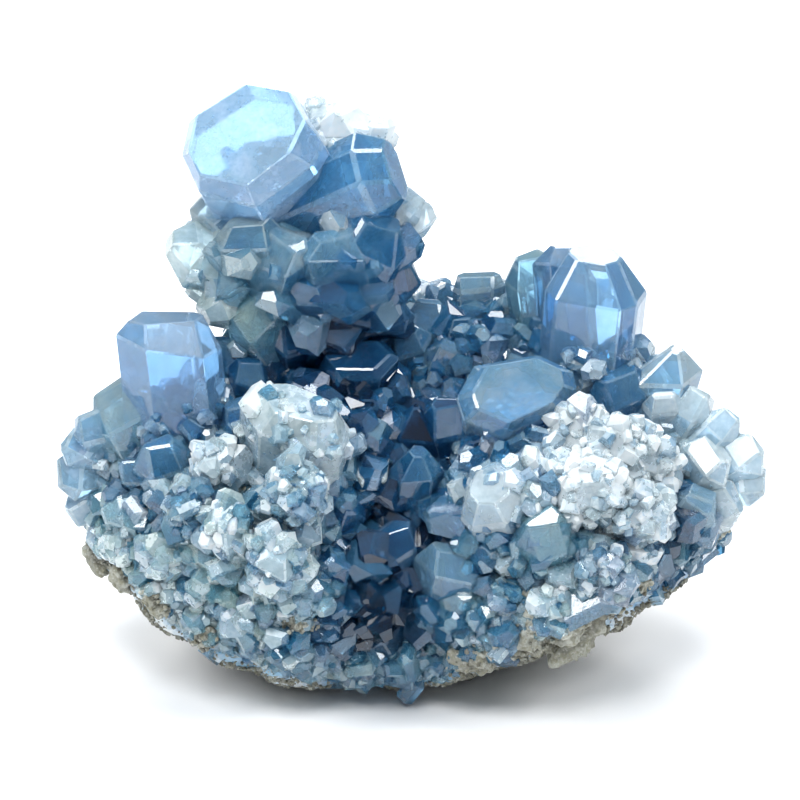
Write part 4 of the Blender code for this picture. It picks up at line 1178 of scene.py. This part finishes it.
# %% Rock finish
# Painted shade in the pits: how much darker the rock is drawn where its relief is low.
PIT_SHADE = [(0.1, (0.45, 0.44, 0.42)), (0.75, (1.0, 1.0, 1.0))]
RUST = (0.36, 0.22, 0.10, 1.0)
PALE_GRIT = (0.75, 0.74, 0.70, 1.0)


def rock_finish(name, dark, light, sand):
    """Dull rock: two tones by large noise, sand by fine noise, grit by cells, rust in rare patches, painted
    shade in pits.
    """
    finish = Finish(name)
    bare, height, blue, _ = finish.growth()
    large = finish.noise(130, 5, 0.6, 0.3)
    fine = finish.noise(900, 5, 0.7)
    grit = finish.cells(1500)
    colour = finish.ramp(large, [(0.3, dark), (0.7, light)])
    colour = finish.mix(finish.span(fine, 0.45, 0.6, 0.0, 0.75), colour, (*sand, 1.0))
    rust = finish.span(finish.noise(260, 3, 0.6), 0.66, 0.74, 0.0, 0.6)
    colour = finish.mix(rust, colour, RUST)
    colour = finish.mix(1.0, colour, finish.ramp(height, PIT_SHADE), "MULTIPLY")
    colour = finish.mix(finish.span(grit, 0.0, 0.35, 0.35, 0.0), colour, PALE_GRIT)
    colour = finish.mix(finish.span(bare, 0.05, 0.25, 0.0, 1.0), finish.ramp(blue, BLUE_STEPS), colour)
    finish.wear(Base_Color=colour, Metallic=0.0, Roughness=finish.span(fine, 0.3, 0.7, 0.75, 0.95))
    finish.bump(finish.math("ADD", fine, grit), 0.5, 0.8)
    return finish.material


# %% Make the finishes
clear_crystal = crystal_finish("clear celestite", clearness=0.78, frostiness=0.75, grain=1.0, absorption=22.0)
druse_crystal = crystal_finish("druse celestite", clearness=0.8, frostiness=1.0, grain=1.4, absorption=0.0)
bed_crystal = crystal_finish("celestite roots", clearness=0.1, frostiness=1.0, grain=1.6, absorption=0.0)
geode_rock = rock_finish("geode rock", (0.18, 0.18, 0.15), (0.42, 0.42, 0.38), (0.28, 0.26, 0.19))
sandy_rock = rock_finish("sandy rock", (0.19, 0.19, 0.15), (0.58, 0.59, 0.53), (0.21, 0.20, 0.13))
print("finishes:", [material.name for material in bpy.data.materials])

# %% [markdown]
# ## Hand the pieces to the frame
# The new pieces stand for the imported bodies, get their finish and ride on the one body.

# %% Join the frame
HANDED = [(rock, geode_rock, "rock", ["rock_matrix"]),
          (sandy_piece, sandy_rock, "rock", []),
          (grains_piece, sandy_rock, "rock", []),
          (crystal_bed, bed_crystal, "crust", ["crystal_crust"]),
          (crust_crystals, clear_crystal, "crust", ["crystal_crust"]),
          (druse["bed_druse"], druse_crystal, "crust", []),
          (druse["crystal_druse"], druse_crystal, "crust", []),
          (tower_crystals, clear_crystal, "tower", ["crystal_tower"]),
          (druse["tower_druse"], druse_crystal, "tower", [])]
for piece, material, slot_name, stands_for in HANDED:
    piece.data.materials.append(material)
    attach(piece, "root")
    if stands_for:
        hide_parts(*stands_for)

# %% [markdown]
# ## Floor, light and camera
# The picture was taken on a white table with large soft lights above it. The lights are bright and small
# enough for flat faces to mirror them as clean white shapes, and the floor is burnt out to white except in
# the shadow. A path of light may meet six surfaces at most, which is enough to see through a few crystals
# and keeps the picture quick.

# %% Floor
FLOOR_CORNERS = 64
FLOOR_RADIUS = 3000.0
FLOOR_GAP = 0.05


def make_floor():
    """A large pale disc just under the object."""
    turn = np.arange(FLOOR_CORNERS) * 2 * math.pi / FLOOR_CORNERS
    below = np.full(FLOOR_CORNERS, -FLOOR_GAP)
    corners = np.stack((FLOOR_RADIUS * np.cos(turn), FLOOR_RADIUS * np.sin(turn), below), axis=1)
    floor = make_piece("floor", corners + REST_PLACE, np.arange(FLOOR_CORNERS), np.array([FLOOR_CORNERS]))
    finish = Finish("white table")
    tone = finish.ramp(finish.noise(60, 2), [(0.3, (0.86, 0.87, 0.88)), (0.7, (0.90, 0.90, 0.90))])
    finish.wear(Base_Color=tone, Roughness=0.6)
    floor.data.materials.append(finish.material)


make_floor()

# %% Lights
LIGHT_TARGET = np.array((0.0, 0.0, 0.045))
LIGHTS = [("top box", 180, 80, 1.0, 0.5, 0.45, 11.0),
          ("front box", -12, 58, 1.0, 0.3, 0.3, 19.0),
          ("left box", -75, 40, 1.1, 0.34, 0.4, 13.0),
          ("right box", 70, 42, 1.1, 0.34, 0.4, 12.0),
          ("back box", 175, 32, 1.2, 0.9, 0.3, 6.5)]


def aim(item, place, target):
    """Put an object at a place and turn its -Z axis to a target."""
    offset = target - place
    item.location = place
    item.rotation_mode = "QUATERNION"
    item.rotation_quaternion = Vector(offset).to_track_quat("-Z", "Y")


def soft_box(name, azimuth, elevation, distance, width, height, brightness):
    """A rectangular light of this brightness, this far from the object, that the camera doesn't see."""
    light = bpy.data.lights.new(name, "AREA")
    light.shape = "RECTANGLE"
    light.size = width
    light.size_y = height
    light.energy = brightness * math.pi * width * height
    made = bpy.data.objects.new(name, light)
    bpy.context.scene.collection.objects.link(made)
    turn = math.radians(azimuth)
    rise = math.radians(elevation)
    way = np.array((math.sin(turn) * math.cos(rise), -math.cos(turn) * math.cos(rise), math.sin(rise)))
    aim(made, LIGHT_TARGET + way * distance, LIGHT_TARGET)
    made.visible_camera = False


for light_row in LIGHTS:
    soft_box(*light_row)
print("lights:", len(LIGHTS))

# %% World and light paths
SKY_COLOUR = (0.84, 0.92, 1.0, 1.0)


def white_room(low, high):
    """A world whose brightness grows from the horizon to the zenith."""
    world = bpy.data.worlds.new("white room")
    world.use_nodes = True
    nodes = world.node_tree.nodes
    links = world.node_tree.links
    way = nodes.new("ShaderNodeTexCoord")
    parts = nodes.new("ShaderNodeSeparateXYZ")
    fade = nodes.new("ShaderNodeMapRange")
    links.new(way.outputs["Generated"], parts.inputs["Vector"])
    links.new(parts.outputs["Z"], fade.inputs["Value"])
    fade.inputs["To Min"].default_value = low
    fade.inputs["To Max"].default_value = high
    nodes["Background"].inputs["Color"].default_value = SKY_COLOUR
    links.new(fade.outputs["Result"], nodes["Background"].inputs["Strength"])
    return world


bpy.context.scene.world = white_room(low=0.14, high=0.85)
bpy.context.scene.view_settings.view_transform = "Standard"
bpy.context.scene.cycles.max_bounces = 6
bpy.context.scene.cycles.transmission_bounces = 5
bpy.context.scene.cycles.diffuse_bounces = 2

# %% Camera
VIEW_WIDTH = 134.1
CAMERA_AWAY = 1600.0
VIEW_MIDDLE = (-1.68, 46.7, 2.0)
camera_data = bpy.data.cameras.new("camera")
camera_data.lens = camera_data.sensor_width * CAMERA_AWAY / VIEW_WIDTH
camera_data.clip_end = 20.0
camera = bpy.data.objects.new("camera", camera_data)
bpy.context.scene.collection.objects.link(camera)
look_at = (seen(*VIEW_MIDDLE) - REST_PLACE) * MM
aim(camera, look_at + OUT_AXIS * CAMERA_AWAY * MM, look_at)
bpy.context.scene.camera = camera
